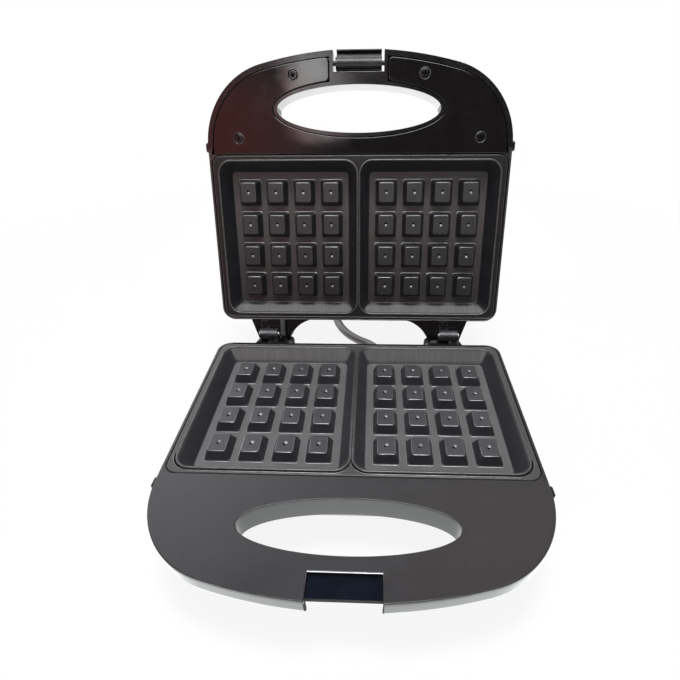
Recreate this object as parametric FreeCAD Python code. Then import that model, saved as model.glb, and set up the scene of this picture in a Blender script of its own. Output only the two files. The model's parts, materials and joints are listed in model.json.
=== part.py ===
import FreeCAD, Part
import math
import os

# Two-slice waffle maker, millimetres, +Z up, standing open on a table at z = 0.
# X runs along the hinge, -Y is the side of the handles.
# Both halves are described by two distances from the hinge axis:
#   d  how far in front of the axis a thing lies with the lid shut,
#   u  how far it lies from the parting plane, into its own half.
# Lid pieces are made as mirrored base pieces and then swung open.

V = FreeCAD.Vector
X_DIR, Y_DIR, Z_DIR = V(1, 0, 0), V(0, 1, 0), V(0, 0, 1)

# ---- overall case ----
axis_z = 44.0            # hinge axis and parting plane above the table
open_angle = 111.0       # lid leans on its stop at this angle
case_half_w = 113.0
case_rear_d = 12.0
case_corner_r = 10.0
body_front_d = 150.0     # body wall under the handle
handle_reach = 56.6      # from that wall to the handle's front
shoulder_back = 6.4      # from that wall back to where the outline leaves the straight sides
front_arc_r = 290.0
base_depth = 38.0
lid_depth = 36.0
band_depth = 9.0         # upright band before the walls lean in
lean_in = 7.0
body_edge_r = 7.0
wall = 2.5
cross_wall_t = 1.5       # between the plate's well and the handle

# ---- handles ----
handle_t = 16.0
handle_edge_r = 6.5
handle_root = 18.0       # handle's slab runs this far into the body
face_gap = 0.4           # handle face to parting plane
shell_gap = 0.8          # shell edge to parting plane
cover_t = 2.6
cover_inset = 4.2        # lid cover inside the shell's outline
cover_gap = 0.5
cover_edge_r = 0.6
ledge_w = 1.5
hole_out = 19.0          # body wall to the hole's middle
hole_side = 53.5         # end of the hole to the side of the case
hole_b = 15.7
hole_ring = 2.7
base_hole_wall = 2.5

# ---- cooking plates ----
rim_wall = 1.5
plate_clear = 0.5
plate_gap = 0.6
plate_front_room = 11.5  # plate's front edge to the body wall
plate_t = 2.5
plate_corner_r = 7.0
skirt_depth = 8.0
skirt_t = 2.0
ridge_w = 3.1
rim_side = 5.05          # flat rim beside the cavities
rim_end = 4.35           # flat rim before and behind them
lip_r = 9.0
cavity_depth = 11.0
cavity_slope = 6.5
floor_r = 4.0
lip_edge_r = 0.8
stud_side = 4.95         # bare floor beside the studs
stud_end = 5.545         # bare floor before and behind them
stud_room = 2.0          # least floor between two studs
stud_base_w = 17.0
stud_base_len = 19.5
stud_top_w = 11.6
stud_top_len = 14.3
stud_h = 7.0
stud_r = 1.6
dimple_r = 1.5
dimple_depth = 0.9

# ---- latch and notches ----
notch_half_w = 18.2
notch_in = 14.2          # notch's rear edge behind the handle's front
notch_cheek = 2.5
bridge_w = 6.4
ledge_u = 4.0            # hook ledge below the base's handle face
ledge_t = 2.4
ledge_back = 3.0         # ledge behind the handle's front
hook_room = 4.6          # space under the ledge for the hook
latch_play = 1.7         # between the latch and each side of its notch
latch_pin_back = 7.6     # latch pin behind the handle's front
latch_rise = 5.5
latch_pin_r = 1.5
latch_barrel_r = 4.0
latch_arm_t = 2.4
latch_arm_gap = 0.4
latch_open_angle = 115.0
hook_len = 2.7
hook_t = 2.0
hook_gap = 1.0

# ---- hinges ----
hinge_in = 38.0          # middle of a hinge to the side of the case
knuckle_r = 4.5
knuckle_w = 7.3
knuckle_gap = 0.3
hinge_pin_r = 2.0
hinge_pin_over = 1.2
pin_clear = 0.04
strap_t = 1.5
lug_u = 4.8
strap_end_d = 11.5
strap_screw_d = 8.0
lug_depth = 22.0
lug_in = 18.0            # base's lug towards the middle, from the hinge
lug_out = 13.0           # and towards the side
lug_taper = 4.0
arm_in = 14.5            # lid's arm, the same way
arm_out = 8.5
arm_root_in = 45.0       # where the arm's curve meets the case
arm_root_out = 16.0
leaf_screw_len = 9.0     # in the lug
lid_lug_end_d = -7.0
base_lug_end_d = 1.0
heel_end_d = -14.0
stop_gap = 0.3
guide_in = 11.3          # lead guide from the hinge
guide_r = 2.2
guide_room = 0.4
guide_bore_r = 1.7
guide_mouth = (7.0, 3.8)   # d and u where the bore leaves the lug
guide_inside = (20.4, 15.0)

# ---- screws ----
screw_r = 1.5
screw_head_r = 3.2
screw_head_t = 1.5
screw_clear = 0.05
screw_sunk = 0.1          # head below the surface round it
head_room = 0.4
cross_w = 0.9
cross_len = 3.4
cross_depth = 0.9
front_screw_side = 28.8  # cover screws: beside the notch, behind the handle's front
front_screw_back = 15.7
base_screw_over = 1.5    # tips of the base's cover screws below the cover
lid_screw_in = 8.0       # tips of the lid's, in their posts
rear_screw_side = 23.9   # inside the case's side, before the shoulder
rear_screw_out = 6.3
shield_screw_len = 9.0
cover_post_r = 4.0
cover_boss_u = 10.0

# ---- heating ----
boss_spread = 44.0
boss_r = 5.0
shield_drop = 9.3        # shield below the plate's underside
shield_t = 0.8
shield_side = 11.0       # inside the plate's edge
shield_margin = 8.0
shield_flange = 5.0
tab_in = 18.0            # tabs towards the middle, from the heater's side run
tab_w = 13.0
tab_out = 3.0            # tab screws before the plate's front edge
rear_rest_in = 10.0      # rear rests, from the heater's side run
rear_rest_out = 5.4      # and from the plate's rear edge
rear_rest_r = 2.5
support_r = 4.0
element_r = 3.25
element_side = 23.0      # heater's runs inside the plate's edges
element_rear = 20.0
element_front = 20.5
element_bend_r = 16.0
element_end_x = 17.0
terminal_len = 9.0
terminal_r = 1.6
thermostat_h = 4.5
blade_x = 5.0
blade_t = 0.8
fuse_r = 2.5
fuse_len = 20.0

# ---- lid lamps ----
lens_r = 3.5
lens_rise = 0.8
lens_flange_r = 4.6
lens_x = 9.0
lens_back = 20.0         # lamps behind the body wall
lamp_r = 2.4
lamp_len = 7.0

# ---- base underside ----
foot_r = 7.0
foot_sunk = 1.2
rear_foot_in = 2.5       # rear feet from the hinge, under the heels
rear_foot_out = 16.0     # and behind the case
front_foot_side = 25.0   # front feet inside the case's side
front_foot_back = 22.0   # and behind the body wall
vent_start = 16.0
vent_pitch = 9.0
vent_w = 3.0
vent_len = 40.0
vent_pairs = 5

# ---- mains cord ----
cord_r = 4.0
cord_exit_in = 37.6      # from the hinge towards the middle
cord_exit_z = 17.5
collar_r = 6.2
collar_flange = 1.0
collar_flange_t = 2.0
collar_in = 8.0          # collar inside the wall's outer face
collar_out = 2.0
boot_r = 6.0
boot_tip_r = 4.7
boot_len = 36.0
cord_bends = [V(11.5, 91, 8.2), V(-2, 102, 5.6), V(-13.5, 114.5, 4.3),
              V(-21.5, 128, 4.05), V(-26.5, 143, 4.05), V(-29.4, 160, 4.05), V(-30, 178, 4.05)]
coil_r = 46.0
coil_x, coil_y = 16.0, 200.0
coil_turns = 2.25
turn_pitch = 8.3
plug_route = [V(36, 246, 21.5), V(51, 246, 18), V(66, 246, 14), V(81, 246, 14)]
plug_len = 22.0
plug_half_w = 18.5
plug_half_h = 14.0
plug_neck_len = 14.0
plug_pin_r = 2.4
plug_pin_len = 19.0
plug_pin_pitch = 19.0

# ---- wiring ----
lead_r = 1.1
lead_bend = 3.0
block_d = 44.0
block_half = 9.0
block_room = 2.3         # between the block and the heat shield
fuse_lead_x = 30.0
blade_lead_x = 38.0
lid_lead_r = 0.75
blade_back = 9.25        # where leads meet the thermostat's blades

# ---- what follows from these sizes ----
front_reach = body_front_d + handle_reach     # hinge axis to the handle's front
shoulder_d = body_front_d - shoulder_back
handle_back_d = body_front_d - handle_root
hole_d = body_front_d + hole_out
hole_a = case_half_w - hole_side
notch_d = front_reach - notch_in
bridge_d = notch_d - bridge_w
ledge_front_d = front_reach - ledge_back
hook_room_d = ledge_front_d - hook_room
latch_d = front_reach - latch_pin_back
latch_w = 2 * (notch_half_w - latch_play)
hinge_x = case_half_w - hinge_in
guide_x = hinge_x - guide_in
cord_exit_x = hinge_x - cord_exit_in

half_plate_w = case_half_w - rim_wall - plate_clear
plate_rear_d = case_rear_d + rim_wall + plate_clear
plate_front_d = body_front_d - plate_front_room
plate_len = plate_front_d - plate_rear_d
plate_mid_d = plate_rear_d + plate_len / 2
lip_w = half_plate_w - rim_side - ridge_w / 2
lip_len = plate_len - 2 * rim_end
cavity_x = (ridge_w + lip_w) / 2
floor_u = plate_gap + cavity_depth
under_u = floor_u + plate_t


def spread_studs(floor, bare, length):
    """How many studs stand on a floor this long, and their pitch."""
    span = floor - 2 * bare
    count = int((span + stud_room) / (length + stud_room))
    return count, (span - length) / (count - 1)


stud_columns, pitch_x = spread_studs(lip_w - 2 * cavity_slope, stud_side, stud_base_w)
stud_rows, pitch_y = spread_studs(lip_len - 2 * cavity_slope, stud_end, stud_base_len)

boss_x = cavity_x
shield_u = under_u + shield_drop
shield_half_w = half_plate_w - shield_side
tab_u = shield_u - shield_flange
block_h = base_depth - wall - shield_u - shield_t - block_room
element_half_w = half_plate_w - element_side
element_rear_d = plate_rear_d + element_rear
element_front_d = plate_front_d - element_front
tab_x = element_half_w - tab_in
tab_d = plate_front_d + tab_out
rear_rest_x = element_half_w - rear_rest_in
rear_rest_d = plate_rear_d + rear_rest_out
lead_holes = [(tab_x, plate_mid_d), (-tab_x, plate_mid_d - blade_back)]    # through the heat shield
cover_screws = [(notch_half_w + front_screw_side, front_reach - front_screw_back),
                (case_half_w - rear_screw_side, shoulder_d + rear_screw_out)]
lens_places = [(-lens_x, body_front_d - lens_back), (lens_x, body_front_d - lens_back)]
rear_foot_x, rear_foot_d = hinge_x - rear_foot_in, case_rear_d - rear_foot_out
front_foot_x, front_foot_d = case_half_w - front_foot_side, body_front_d - front_foot_back

# The lid leans back, so the footprint's middle follows from both reaches.
lean = math.radians(open_angle)
back_reach = -front_reach * math.cos(lean) + (face_gap + handle_t) * math.sin(lean)
hinge_y = (front_reach - back_reach) / 2


def at_y(d):
    return hinge_y - d


def at_z(u):
    return axis_z - u


# ---- shapes described by x, d and u ----
def point(x, d, u):
    return V(x, at_y(d), at_z(u))


def rounded_rect(x0, x1, d0, d1, radius, u):
    """Closed wire, corners rounded, lying at distance u from the parting plane."""
    z = at_z(u)
    y0, y1 = at_y(d1), at_y(d0)
    bulge = radius * (1 - math.sqrt(0.5))
    edges = []
    corners = [(x1, y0, -1, 1), (x1, y1, -1, -1), (x0, y1, 1, -1), (x0, y0, 1, 1)]
    ends = []
    for index, (x, y, sx, sy) in enumerate(corners):
        along_x = V(x + sx * radius, y, z)
        along_y = V(x, y + sy * radius, z)
        first, last = (along_x, along_y) if index % 2 == 0 else (along_y, along_x)
        ends.append((first, V(x + sx * bulge, y + sy * bulge, z), last))
    for index, (first, middle, last) in enumerate(ends):
        edges.append(Part.Arc(first, middle, last).toShape())
        edges.append(Part.LineSegment(last, ends[(index + 1) % 4][0]).toShape())
    return Part.Wire(edges)


def slab(wire, u0, u1):
    """Solid from a wire at u0 straight down to u1."""
    return Part.Face(wire).extrude(V(0, 0, u0 - u1))


def box(x0, x1, d0, d1, u0, u1):
    return Part.makeBox(x1 - x0, d1 - d0, u1 - u0, point(x0, d1, u1))


def post(x, d, u0, u1, radius):
    return Part.makeCylinder(radius, u1 - u0, point(x, d, u1))


def loft(first, last):
    return Part.makeLoft([first, last], True, True)


def merged(first, others):
    return first.fuse(others).removeSplitter()


def edges_at(shape, u, keep=None):
    """Edges that lie wholly at distance u, and pass the extra test if there is one."""
    z = at_z(u)
    found = [e for e in shape.Edges if abs(e.BoundBox.ZMin - z) < 0.01 and abs(e.BoundBox.ZMax - z) < 0.01]
    return [e for e in found if keep is None or keep(e)]


def both_sides(positions):
    return [(side * x, d) for x, d in positions for side in (-1, 1)]


# ---- the outline that both halves share ----
def shoulder_radius():
    gap = front_arc_r - front_reach + shoulder_d
    return (front_arc_r ** 2 - case_half_w ** 2 - gap ** 2) / (2 * (front_arc_r - case_half_w))


def handle_outline(inset, back_d, u):
    """Straight sides, round shoulders and one wide front arc, drawn inset all round."""
    z = at_z(u)
    half = case_half_w - inset
    shoulder = shoulder_radius()
    centre_y = at_y(front_reach) + front_arc_r
    shoulder_x, shoulder_y = case_half_w - shoulder, at_y(shoulder_d)
    turn = math.atan2(shoulder_y - centre_y, shoulder_x)

    def on_shoulder(angle):
        radius = shoulder - inset
        return shoulder_x + radius * math.cos(angle), shoulder_y + radius * math.sin(angle)

    right = [(half, at_y(back_d)), on_shoulder(0), on_shoulder(turn / 2), on_shoulder(turn)]
    front = (0, centre_y - front_arc_r + inset)
    p = [V(x, y, z) for x, y in right]
    q = [V(-x, y, z) for x, y in right]
    edges = [
        Part.LineSegment(p[0], p[1]).toShape(),
        Part.Arc(p[1], p[2], p[3]).toShape(),
        Part.Arc(p[3], V(front[0], front[1], z), q[3]).toShape(),
        Part.Arc(q[3], q[2], q[1]).toShape(),
        Part.LineSegment(q[1], q[0]).toShape(),
        Part.LineSegment(q[0], p[0]).toShape(),
    ]
    return Part.Wire(edges)


def hole_prism(margin, u0, u1):
    """The handle's oval hole, grown by a margin."""
    oval = Part.Ellipse(point(0, hole_d, u0), hole_a + margin, hole_b + margin).toShape()
    return slab(Part.Wire([oval]), u0, u1)


def lean_at(u, depth):
    return lean_in * max(0.0, u - band_depth) / (depth - band_depth)


def tub(inset, depth, u0, u1, edge_r):
    """The body under the plates: an upright band, then walls that lean in."""
    half = case_half_w - inset
    rear, front = case_rear_d + inset, body_front_d - inset
    lean_in_here = lean_at(u1, depth)
    side = [(-half, u0), (half, u0), (half, band_depth), (half - lean_in_here, u1),
            (lean_in_here - half, u1), (-half, band_depth), (-half, u0)]
    across = Part.Face(Part.makePolygon([point(x, rear, u) for x, u in side]))
    across = across.extrude(V(0, rear - front, 0))
    end = [(rear, u0), (front, u0), (front, band_depth), (front - lean_in_here, u1),
           (rear + lean_in_here, u1), (rear, band_depth), (rear, u0)]
    along = Part.Face(Part.makePolygon([point(-half, d, u) for d, u in end]))
    solid = across.common(along.extrude(V(2 * half, 0, 0)))
    upright = [e for e in solid.Edges if e.BoundBox.ZLength > 1]
    solid = solid.makeFillet(case_corner_r - inset, upright)
    return solid.makeFillet(edge_r, edges_at(solid, u1))


def handle_slab(depth_u):
    solid = slab(handle_outline(0, handle_back_d, shell_gap), shell_gap, depth_u)
    rim = edges_at(solid, depth_u, lambda e: e.BoundBox.YMin < at_y(handle_back_d) - 0.1)
    return solid.makeFillet(handle_edge_r, rim)


handle_u = face_gap + handle_t


def case_solid(depth):
    return merged(tub(0, depth, shell_gap, depth, body_edge_r), [handle_slab(handle_u)])


# ---- shells ----
seat_u = face_gap + cover_t
cover_rear_d = plate_front_d + cover_gap
handle_inner_u = handle_u - wall
cover_seat_inset = cover_inset - cover_gap


def plate_recess():
    half = half_plate_w + plate_clear
    wire = rounded_rect(-half, half, plate_rear_d - plate_clear, plate_front_d + plate_clear,
                        plate_corner_r + plate_clear, -1)
    return slab(wire, -1, plate_gap + skirt_depth + 1)


def handle_hollow():
    """Inside of the handle, under the ledge that carries the cover."""
    outline = handle_outline(cover_seat_inset + ledge_w, cover_rear_d + cross_wall_t, seat_u)
    return slab(outline, seat_u, handle_inner_u)


def nubs():
    """Small bump on each side, where the handle begins."""
    result = []
    for side in (-1, 1):
        middle = side * case_half_w
        bump = box(middle - 2.4, middle + 2.4, shoulder_d - 3, shoulder_d + 4, shell_gap + 1, shell_gap + 8.2)
        result.append(bump.makeFillet(1.6, bump.Edges))
    return result


def mirrored_pair(shape):
    return [shape, shape.mirror(V(0, 0, 0), X_DIR)]


def lid_lug():
    """Arm behind the case that reaches round the hinge, hollowed by a wide curve inside."""
    rear, end = case_rear_d, lid_lug_end_d
    root, inside = hinge_x - arm_root_in, hinge_x - arm_in
    outside, outer_root = hinge_x + arm_out, hinge_x + arm_root_out
    inner = [point(root, rear, lug_u), point(inside - 10, rear - 6, lug_u), point(inside - 1.5, end + 1, lug_u)]
    rest = [point(inside, end, lug_u), point(outside, end, lug_u), point(outside + 1.5, end + 1, lug_u),
            point(outer_root, rear, lug_u), point(outer_root, rear + 6, lug_u), point(root, rear + 6, lug_u)]
    edges = [Part.Arc(*inner).toShape()]
    corners = [inner[2]] + rest + [inner[0]]
    edges += [Part.LineSegment(a, b).toShape() for a, b in zip(corners, corners[1:])]
    return slab(Part.Wire(edges), lug_u, lug_depth)


def heel_top(d):
    """Depth u of the heel's sloping top, which the opened lid's lug comes to rest on."""
    behind = -d
    return (stop_gap - lid_lug_end_d - behind * math.cos(lean)) / math.sin(lean)


def base_lug():
    """Short block behind the case that carries the fixed hinge leaf."""
    rear, end = case_rear_d, base_lug_end_d
    left, right = hinge_x - lug_in, hinge_x + lug_out
    corners = [(left, rear), (left + lug_taper, end), (right - lug_taper, end), (right, rear),
               (right, rear + 6), (left, rear + 6), (left, rear)]
    block = slab(Part.makePolygon([point(x, d, lug_u) for x, d in corners]), lug_u, base_depth)
    profile = [(rear + 6, heel_top(end)), (end, heel_top(end)), (heel_end_d, heel_top(heel_end_d)),
               (heel_end_d, base_depth), (rear + 6, base_depth), (rear + 6, heel_top(end))]
    side = Part.Face(Part.makePolygon([point(left, d, u) for d, u in profile]))
    heel = side.extrude(V(right - left, 0, 0))
    heel = heel.makeFillet(3.0, [e for e in heel.Edges if e.BoundBox.ZLength > 5
                                 and e.BoundBox.YMax > at_y(heel_end_d) - 0.01])
    return merged(block, [heel])


def half_shell(depth, lugs, cover_cut, ring_top, ring_wall, end_block, posts):
    """A case half: outer form, two hollows, hole tube, cross wall and the notch block."""
    outer = merged(case_solid(depth), lugs + nubs())
    shell = outer.cut(tub(wall, depth, -1, depth - wall, body_edge_r - wall))
    shell = shell.cut(handle_hollow())
    shell = shell.cut(plate_recess())
    shell = shell.cut(cover_cut)
    half = case_half_w - wall / 2
    cross_wall = box(-half, half, cover_rear_d, cover_rear_d + cross_wall_t, seat_u, handle_inner_u)
    parts = [cross_wall, hole_prism(ring_wall, ring_top, handle_u)]
    parts += [piece.common(outer) for piece in [end_block] + posts]
    shell = merged(shell, parts)
    return shell.cut(hole_prism(0, -1, handle_u + 1))


def notch_block(top):
    side = notch_half_w + notch_cheek
    return box(-side, side, bridge_d, front_reach + 5, top, handle_u)


def floor_posts(depth):
    """Posts that carry the heat shield: two by the handle, two at the rear."""
    places = [(x, d, support_r) for x, d in both_sides([(tab_x, tab_d)])]
    places += [(x, d, rear_rest_r) for x, d in both_sides([(rear_rest_x, rear_rest_d)])]
    return [post(x, d, tab_u + shield_t, depth - wall + 0.5, radius) for x, d, radius in places]


def screw_bores(places, radius, u0, u1):
    return [post(x, d, u0, u1, radius) for x, d in places]


def shield_screw_bores():
    places = both_sides([(tab_x, tab_d)])
    return screw_bores(places, screw_r + screw_clear, tab_u, tab_u + shield_screw_len + 1)


def screw(x, d, head_u, tip_u):
    """Round-headed screw with a cross recess; its head lies at head_u, its tip at tip_u."""
    toward_tip = 1 if tip_u > head_u else -1
    inner_u = head_u + toward_tip * screw_head_t
    head = post(x, d, min(head_u, inner_u), max(head_u, inner_u), screw_head_r)
    outer_rim = [e for e in head.Edges if abs(e.BoundBox.ZMin - at_z(head_u)) < 0.01
                 and abs(e.BoundBox.ZMax - at_z(head_u)) < 0.01]
    head = head.makeFillet(0.5, outer_rim)
    shank = post(x, d, min(inner_u, tip_u), max(inner_u, tip_u), screw_r)
    blade = [(cross_len, cross_w), (cross_w, cross_len)]
    low_u = min(head_u, head_u + toward_tip * cross_depth)
    result = merged(head, [shank])
    for width, length in blade:
        slot = box(x - width / 2, x + width / 2, d - length / 2, d + length / 2, low_u, low_u + cross_depth)
        result = result.cut(slot)
    return result


# ---- base and lid shells, covers ----
cover_places = both_sides(cover_screws)


def base_shell():
    cover_cut = slab(handle_outline(-1, cover_rear_d, -1), -1, seat_u)
    posts = floor_posts(base_depth) + screw_bores(cover_places, cover_post_r, cover_boss_u, handle_u - wall)
    shell = half_shell(base_depth, mirrored_pair(base_lug()), cover_cut, seat_u, base_hole_wall,
                       notch_block(seat_u), posts)
    shell = merged(shell, [guide_pad()])
    half = notch_half_w
    cuts = [
        box(-half, half, notch_d, front_reach + 5, -1, ledge_u),
        box(-half, half, ledge_front_d, front_reach + 5, -1, handle_u + 1),
        box(-half, half, hook_room_d, front_reach + 5, ledge_u + ledge_t, handle_u + 1),
    ]
    cuts += screw_bores(cover_places, screw_r + screw_clear, cover_boss_u - 1, handle_u + 1)
    cuts += screw_bores(cover_places, screw_head_r + head_room, handle_u - screw_sunk - screw_head_t, handle_u + 1)
    cuts += shield_screw_bores()
    cuts += [foot_recess(x, d) for x, d in foot_places]
    cuts += vents()
    cuts += leaf_screw_bores(base_leaf_x)
    cuts.append(cord_passage())
    return shell.cut(Part.makeCompound(cuts))


def base_handle_cover():
    """Flat top of the base's handle, fixed from below through four bosses."""
    cover = slab(handle_outline(0, cover_rear_d, face_gap), face_gap, seat_u)
    cover = cover.cut(hole_prism(0, -1, seat_u + 1))
    half = notch_half_w
    cover = cover.cut(box(-half, half, notch_d, front_reach + 5, -1, seat_u + 1))
    cover = cover.makeFillet(cover_edge_r, edges_at(cover, face_gap))
    cover = merged(cover, screw_bores(cover_places, cover_post_r, seat_u, cover_boss_u))
    return cover.cut(Part.makeCompound(screw_bores(cover_places, screw_r + screw_clear, seat_u, cover_boss_u + 1)))


def lid_shell():
    cover_cut = slab(handle_outline(cover_seat_inset, cover_rear_d, -1), -1, seat_u)
    posts = floor_posts(lid_depth) + screw_bores(cover_places, cover_post_r, seat_u, handle_u - wall)
    shell = half_shell(lid_depth, mirrored_pair(lid_lug()), cover_cut, shell_gap, hole_ring,
                       notch_block(shell_gap), posts)
    half = notch_half_w
    cuts = [box(-half, half, notch_d, front_reach + 5, -1, handle_u + 1)]
    cuts += screw_bores(cover_places, screw_r + screw_clear, seat_u - 1, seat_u + lid_screw_in + 1)
    cuts += shield_screw_bores()
    cuts += screw_bores(lens_places, lens_r + 0.1, lid_depth - wall - 1, lid_depth + 1)
    cuts += leaf_screw_bores(lid_leaf_x)
    cuts.append(guide_passage())
    pin_hole = Part.makeCylinder(latch_pin_r + 0.02, latch_pin_len, latch_pin_start, X_DIR)
    cuts.append(pin_hole)
    return shell.cut(Part.makeCompound(cuts))


def lid_handle_cover():
    """Inner panel of the lid's handle: one piece round the hole, open at the notch."""
    cover = slab(handle_outline(cover_inset, cover_rear_d + 0.1, face_gap), face_gap, seat_u)
    cover = cover.cut(hole_prism(hole_ring + cover_gap, -1, seat_u + 1))
    side = notch_half_w + notch_cheek + cover_gap
    cover = cover.cut(box(-side, side, hole_d, front_reach + 5, -1, seat_u + 1))
    upright = [e for e in cover.Edges if e.BoundBox.ZLength > 1 and abs(abs(e.BoundBox.XMin) - side) < 0.1]
    cover = cover.makeFillet(3.0, upright)
    cover = cover.makeFillet(cover_edge_r, edges_at(cover, face_gap))
    sunk = face_gap + screw_sunk + screw_head_t
    cuts = screw_bores(cover_places, screw_head_r + head_room, -1, sunk)
    cuts += screw_bores(cover_places, screw_r + screw_clear, -1, seat_u + 1)
    return cover.cut(Part.makeCompound(cuts))


# ---- cooking plates ----
def cavity_wire(x, margin, u):
    """Outline of one cavity at distance u; its walls slope from the lip to the floor."""
    share = (u - plate_gap) / cavity_depth
    inset = cavity_slope * share - margin
    radius = lip_r + (floor_r - lip_r) * share + margin
    half_w, half_len = lip_w / 2 - inset, lip_len / 2 - inset
    return rounded_rect(x - half_w, x + half_w, plate_mid_d - half_len, plate_mid_d + half_len, radius, u)


def stud():
    """One truncated pyramid with a dimple in its top, standing at x = 0 on the plates' middle line."""
    def outline(width, length, u):
        half = length / 2
        return rounded_rect(-width / 2, width / 2, plate_mid_d - half, plate_mid_d + half, stud_r, u)

    top_u = floor_u - stud_h
    body = loft(outline(stud_base_w, stud_base_len, floor_u), outline(stud_top_w, stud_top_len, top_u))
    body = body.makeFillet(0.5, edges_at(body, top_u))
    dimple = Part.makeCone(0.3, dimple_r, dimple_depth, point(0, plate_mid_d, top_u + dimple_depth))
    return body.cut(dimple)


def waffle_plate():
    """Cast plate: rim, skirt, two cavities with studs, four screw bosses underneath."""
    def outline(inset, u):
        half = half_plate_w - inset
        return rounded_rect(-half, half, plate_rear_d + inset, plate_front_d - inset,
                            plate_corner_r - inset, u)

    rim = slab(outline(0, plate_gap), plate_gap, plate_gap + skirt_depth)
    rim = rim.makeFillet(lip_edge_r, edges_at(rim, plate_gap))
    rim = rim.cut(slab(outline(skirt_t, plate_gap + plate_t), plate_gap + plate_t, under_u))
    pans = [loft(cavity_wire(side * cavity_x, plate_t, plate_gap + 1), cavity_wire(side * cavity_x, plate_t, under_u))
            for side in (-1, 1)]
    bosses = [post(x, d, under_u - 1, shield_u, boss_r) for x, d in boss_places]
    plate = merged(rim, pans + bosses)
    for side in (-1, 1):
        x = side * cavity_x
        hollow = loft(cavity_wire(x, 0, plate_gap - 1), cavity_wire(x, 0, floor_u))
        hollow = hollow.makeFillet(1.2, edges_at(hollow, floor_u))
        plate = plate.cut(hollow)
    lips = edges_at(plate, plate_gap, lambda e: e.BoundBox.XMin > -half_plate_w + 2
                    and e.BoundBox.XMax < half_plate_w - 2 and e.BoundBox.YMin > at_y(plate_front_d) + 2
                    and e.BoundBox.YMax < at_y(plate_rear_d) - 2)
    plate = plate.makeFillet(lip_edge_r, lips)
    pattern = stud()
    studs = []
    for side in (-1, 1):
        for column in range(stud_columns):
            for row in range(stud_rows):
                x = side * cavity_x + (column - (stud_columns - 1) / 2) * pitch_x
                y = (row - (stud_rows - 1) / 2) * pitch_y
                studs.append(pattern.translated(V(x, y, 0)))
    plate = plate.fuse(studs)
    return plate.cut(Part.makeCompound(screw_bores(boss_places, screw_r + screw_clear, under_u + 1.5, shield_u + 1)))


boss_places = [(side * boss_x, plate_mid_d + end * boss_spread / 2) for side in (-1, 1) for end in (-1, 1)]
foot_places = both_sides([(rear_foot_x, rear_foot_d), (front_foot_x, front_foot_d)])


# ---- tubes and wires ----
def bent_wire(points, bend_r=None):
    """Straight runs joined by tangent arcs; without a given radius each arc is as large as its runs allow."""
    edges, radii = [], []
    start = points[0]
    for before, corner, after in zip(points, points[1:], points[2:]):
        back, ahead = (before - corner), (after - corner)
        half_turn = (math.pi - back.getAngle(ahead)) / 2
        radius = bend_r or 0.45 * min(back.Length, ahead.Length) / math.tan(half_turn)
        reach = radius * math.tan(half_turn)
        back, ahead = back.normalize(), ahead.normalize()
        first, last = corner + back * reach, corner + ahead * reach
        inward = (back + ahead).normalize()
        middle = corner + inward * (radius / math.cos(half_turn) - radius)
        edges.append(Part.LineSegment(start, first).toShape())
        edges.append(Part.Arc(first, middle, last).toShape())
        radii.append(radius)
        start = last
    edges.append(Part.LineSegment(start, points[-1]).toShape())
    return Part.Wire(edges), radii


def tube(points, radius, bend_r=None):
    path, radii = bent_wire(points, bend_r)
    ring = Part.Wire([Part.makeCircle(radius, points[0], points[1] - points[0])])
    return path.makePipeShell([ring], True, True)


# ---- heating, the same in both halves ----
def heating_element():
    """Bent tubular heater pressed to the plate's underside, with a thin pin at each end."""
    u = under_u + element_r
    right = [(element_end_x, element_rear_d), (element_half_w, element_rear_d),
             (element_half_w, element_front_d)]
    route = [point(x, d, u) for x, d in right] + [point(-x, d, u) for x, d in reversed(right)]
    pins = [Part.makeCylinder(terminal_r, terminal_len, point(side * (element_end_x + 0.5), element_rear_d, u),
                              V(-side, 0, 0)) for side in (-1, 1)]
    return merged(tube(route, element_r, element_bend_r), pins)


def element_straps():
    """Bridges riveted under the plate, one over each side run and two over the front run."""
    top_u = under_u + 2 * element_r
    places = [(element_half_w, plate_mid_d, True), (-element_half_w, plate_mid_d, True),
              (cavity_x, element_front_d, False), (-cavity_x, element_front_d, False)]
    result = []
    for x, d, across_x in places:
        def bar(half, u0, u1):
            if across_x:
                return box(x - half, x + half, d - 5, d + 5, u0, u1)
            return box(x - 5, x + 5, d - half, d + half, u0, u1)

        strap = merged(bar(9, under_u, under_u + 1), [bar(element_r + 1.3, under_u, top_u + 1)])
        result.append(strap.cut(bar(element_r + 0.3, under_u - 1, top_u)))
    return result


def heat_shield():
    """Folded sheet under the heater, held between the plate's bosses and the shell's posts."""
    rear, front = plate_rear_d + shield_margin, plate_front_d - shield_margin
    tray = box(-shield_half_w, shield_half_w, rear, front, tab_u, shield_u + shield_t)
    inside = box(shield_t - shield_half_w, shield_half_w - shield_t, rear + shield_t, front - shield_t,
                 tab_u - 1, shield_u)
    tray = tray.cut(inside)
    tabs = [box(x - tab_w / 2, x + tab_w / 2, front - shield_t, tab_d + screw_head_r, tab_u, tab_u + shield_t)
            for x in (-tab_x, tab_x)]
    rests = [box(x - support_r, x + support_r, rear_rest_d - rear_rest_r + 0.5, rear + shield_t,
                 tab_u, tab_u + shield_t)
             for x in (-rear_rest_x, rear_rest_x)]
    tray = merged(tray, tabs + rests)
    holes = boss_places + both_sides([(tab_x, tab_d)])
    cuts = screw_bores(holes, screw_r + screw_clear, tab_u - 1, shield_u + 2)
    cuts += screw_bores(lead_holes, 2 * lead_r, shield_u - 1, shield_u + 2)
    side = collar_r + collar_flange + 1.5
    cuts.append(box(cord_exit_x - side, cord_exit_x + side, rear - 1, rear + 7, tab_u - 1, shield_u + 2))
    return tray.cut(Part.makeCompound(cuts))


def plate_screws():
    head_u = shield_u + shield_t + screw_head_t
    return [screw(x, d, head_u, under_u + 2.0) for x, d in boss_places]


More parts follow.
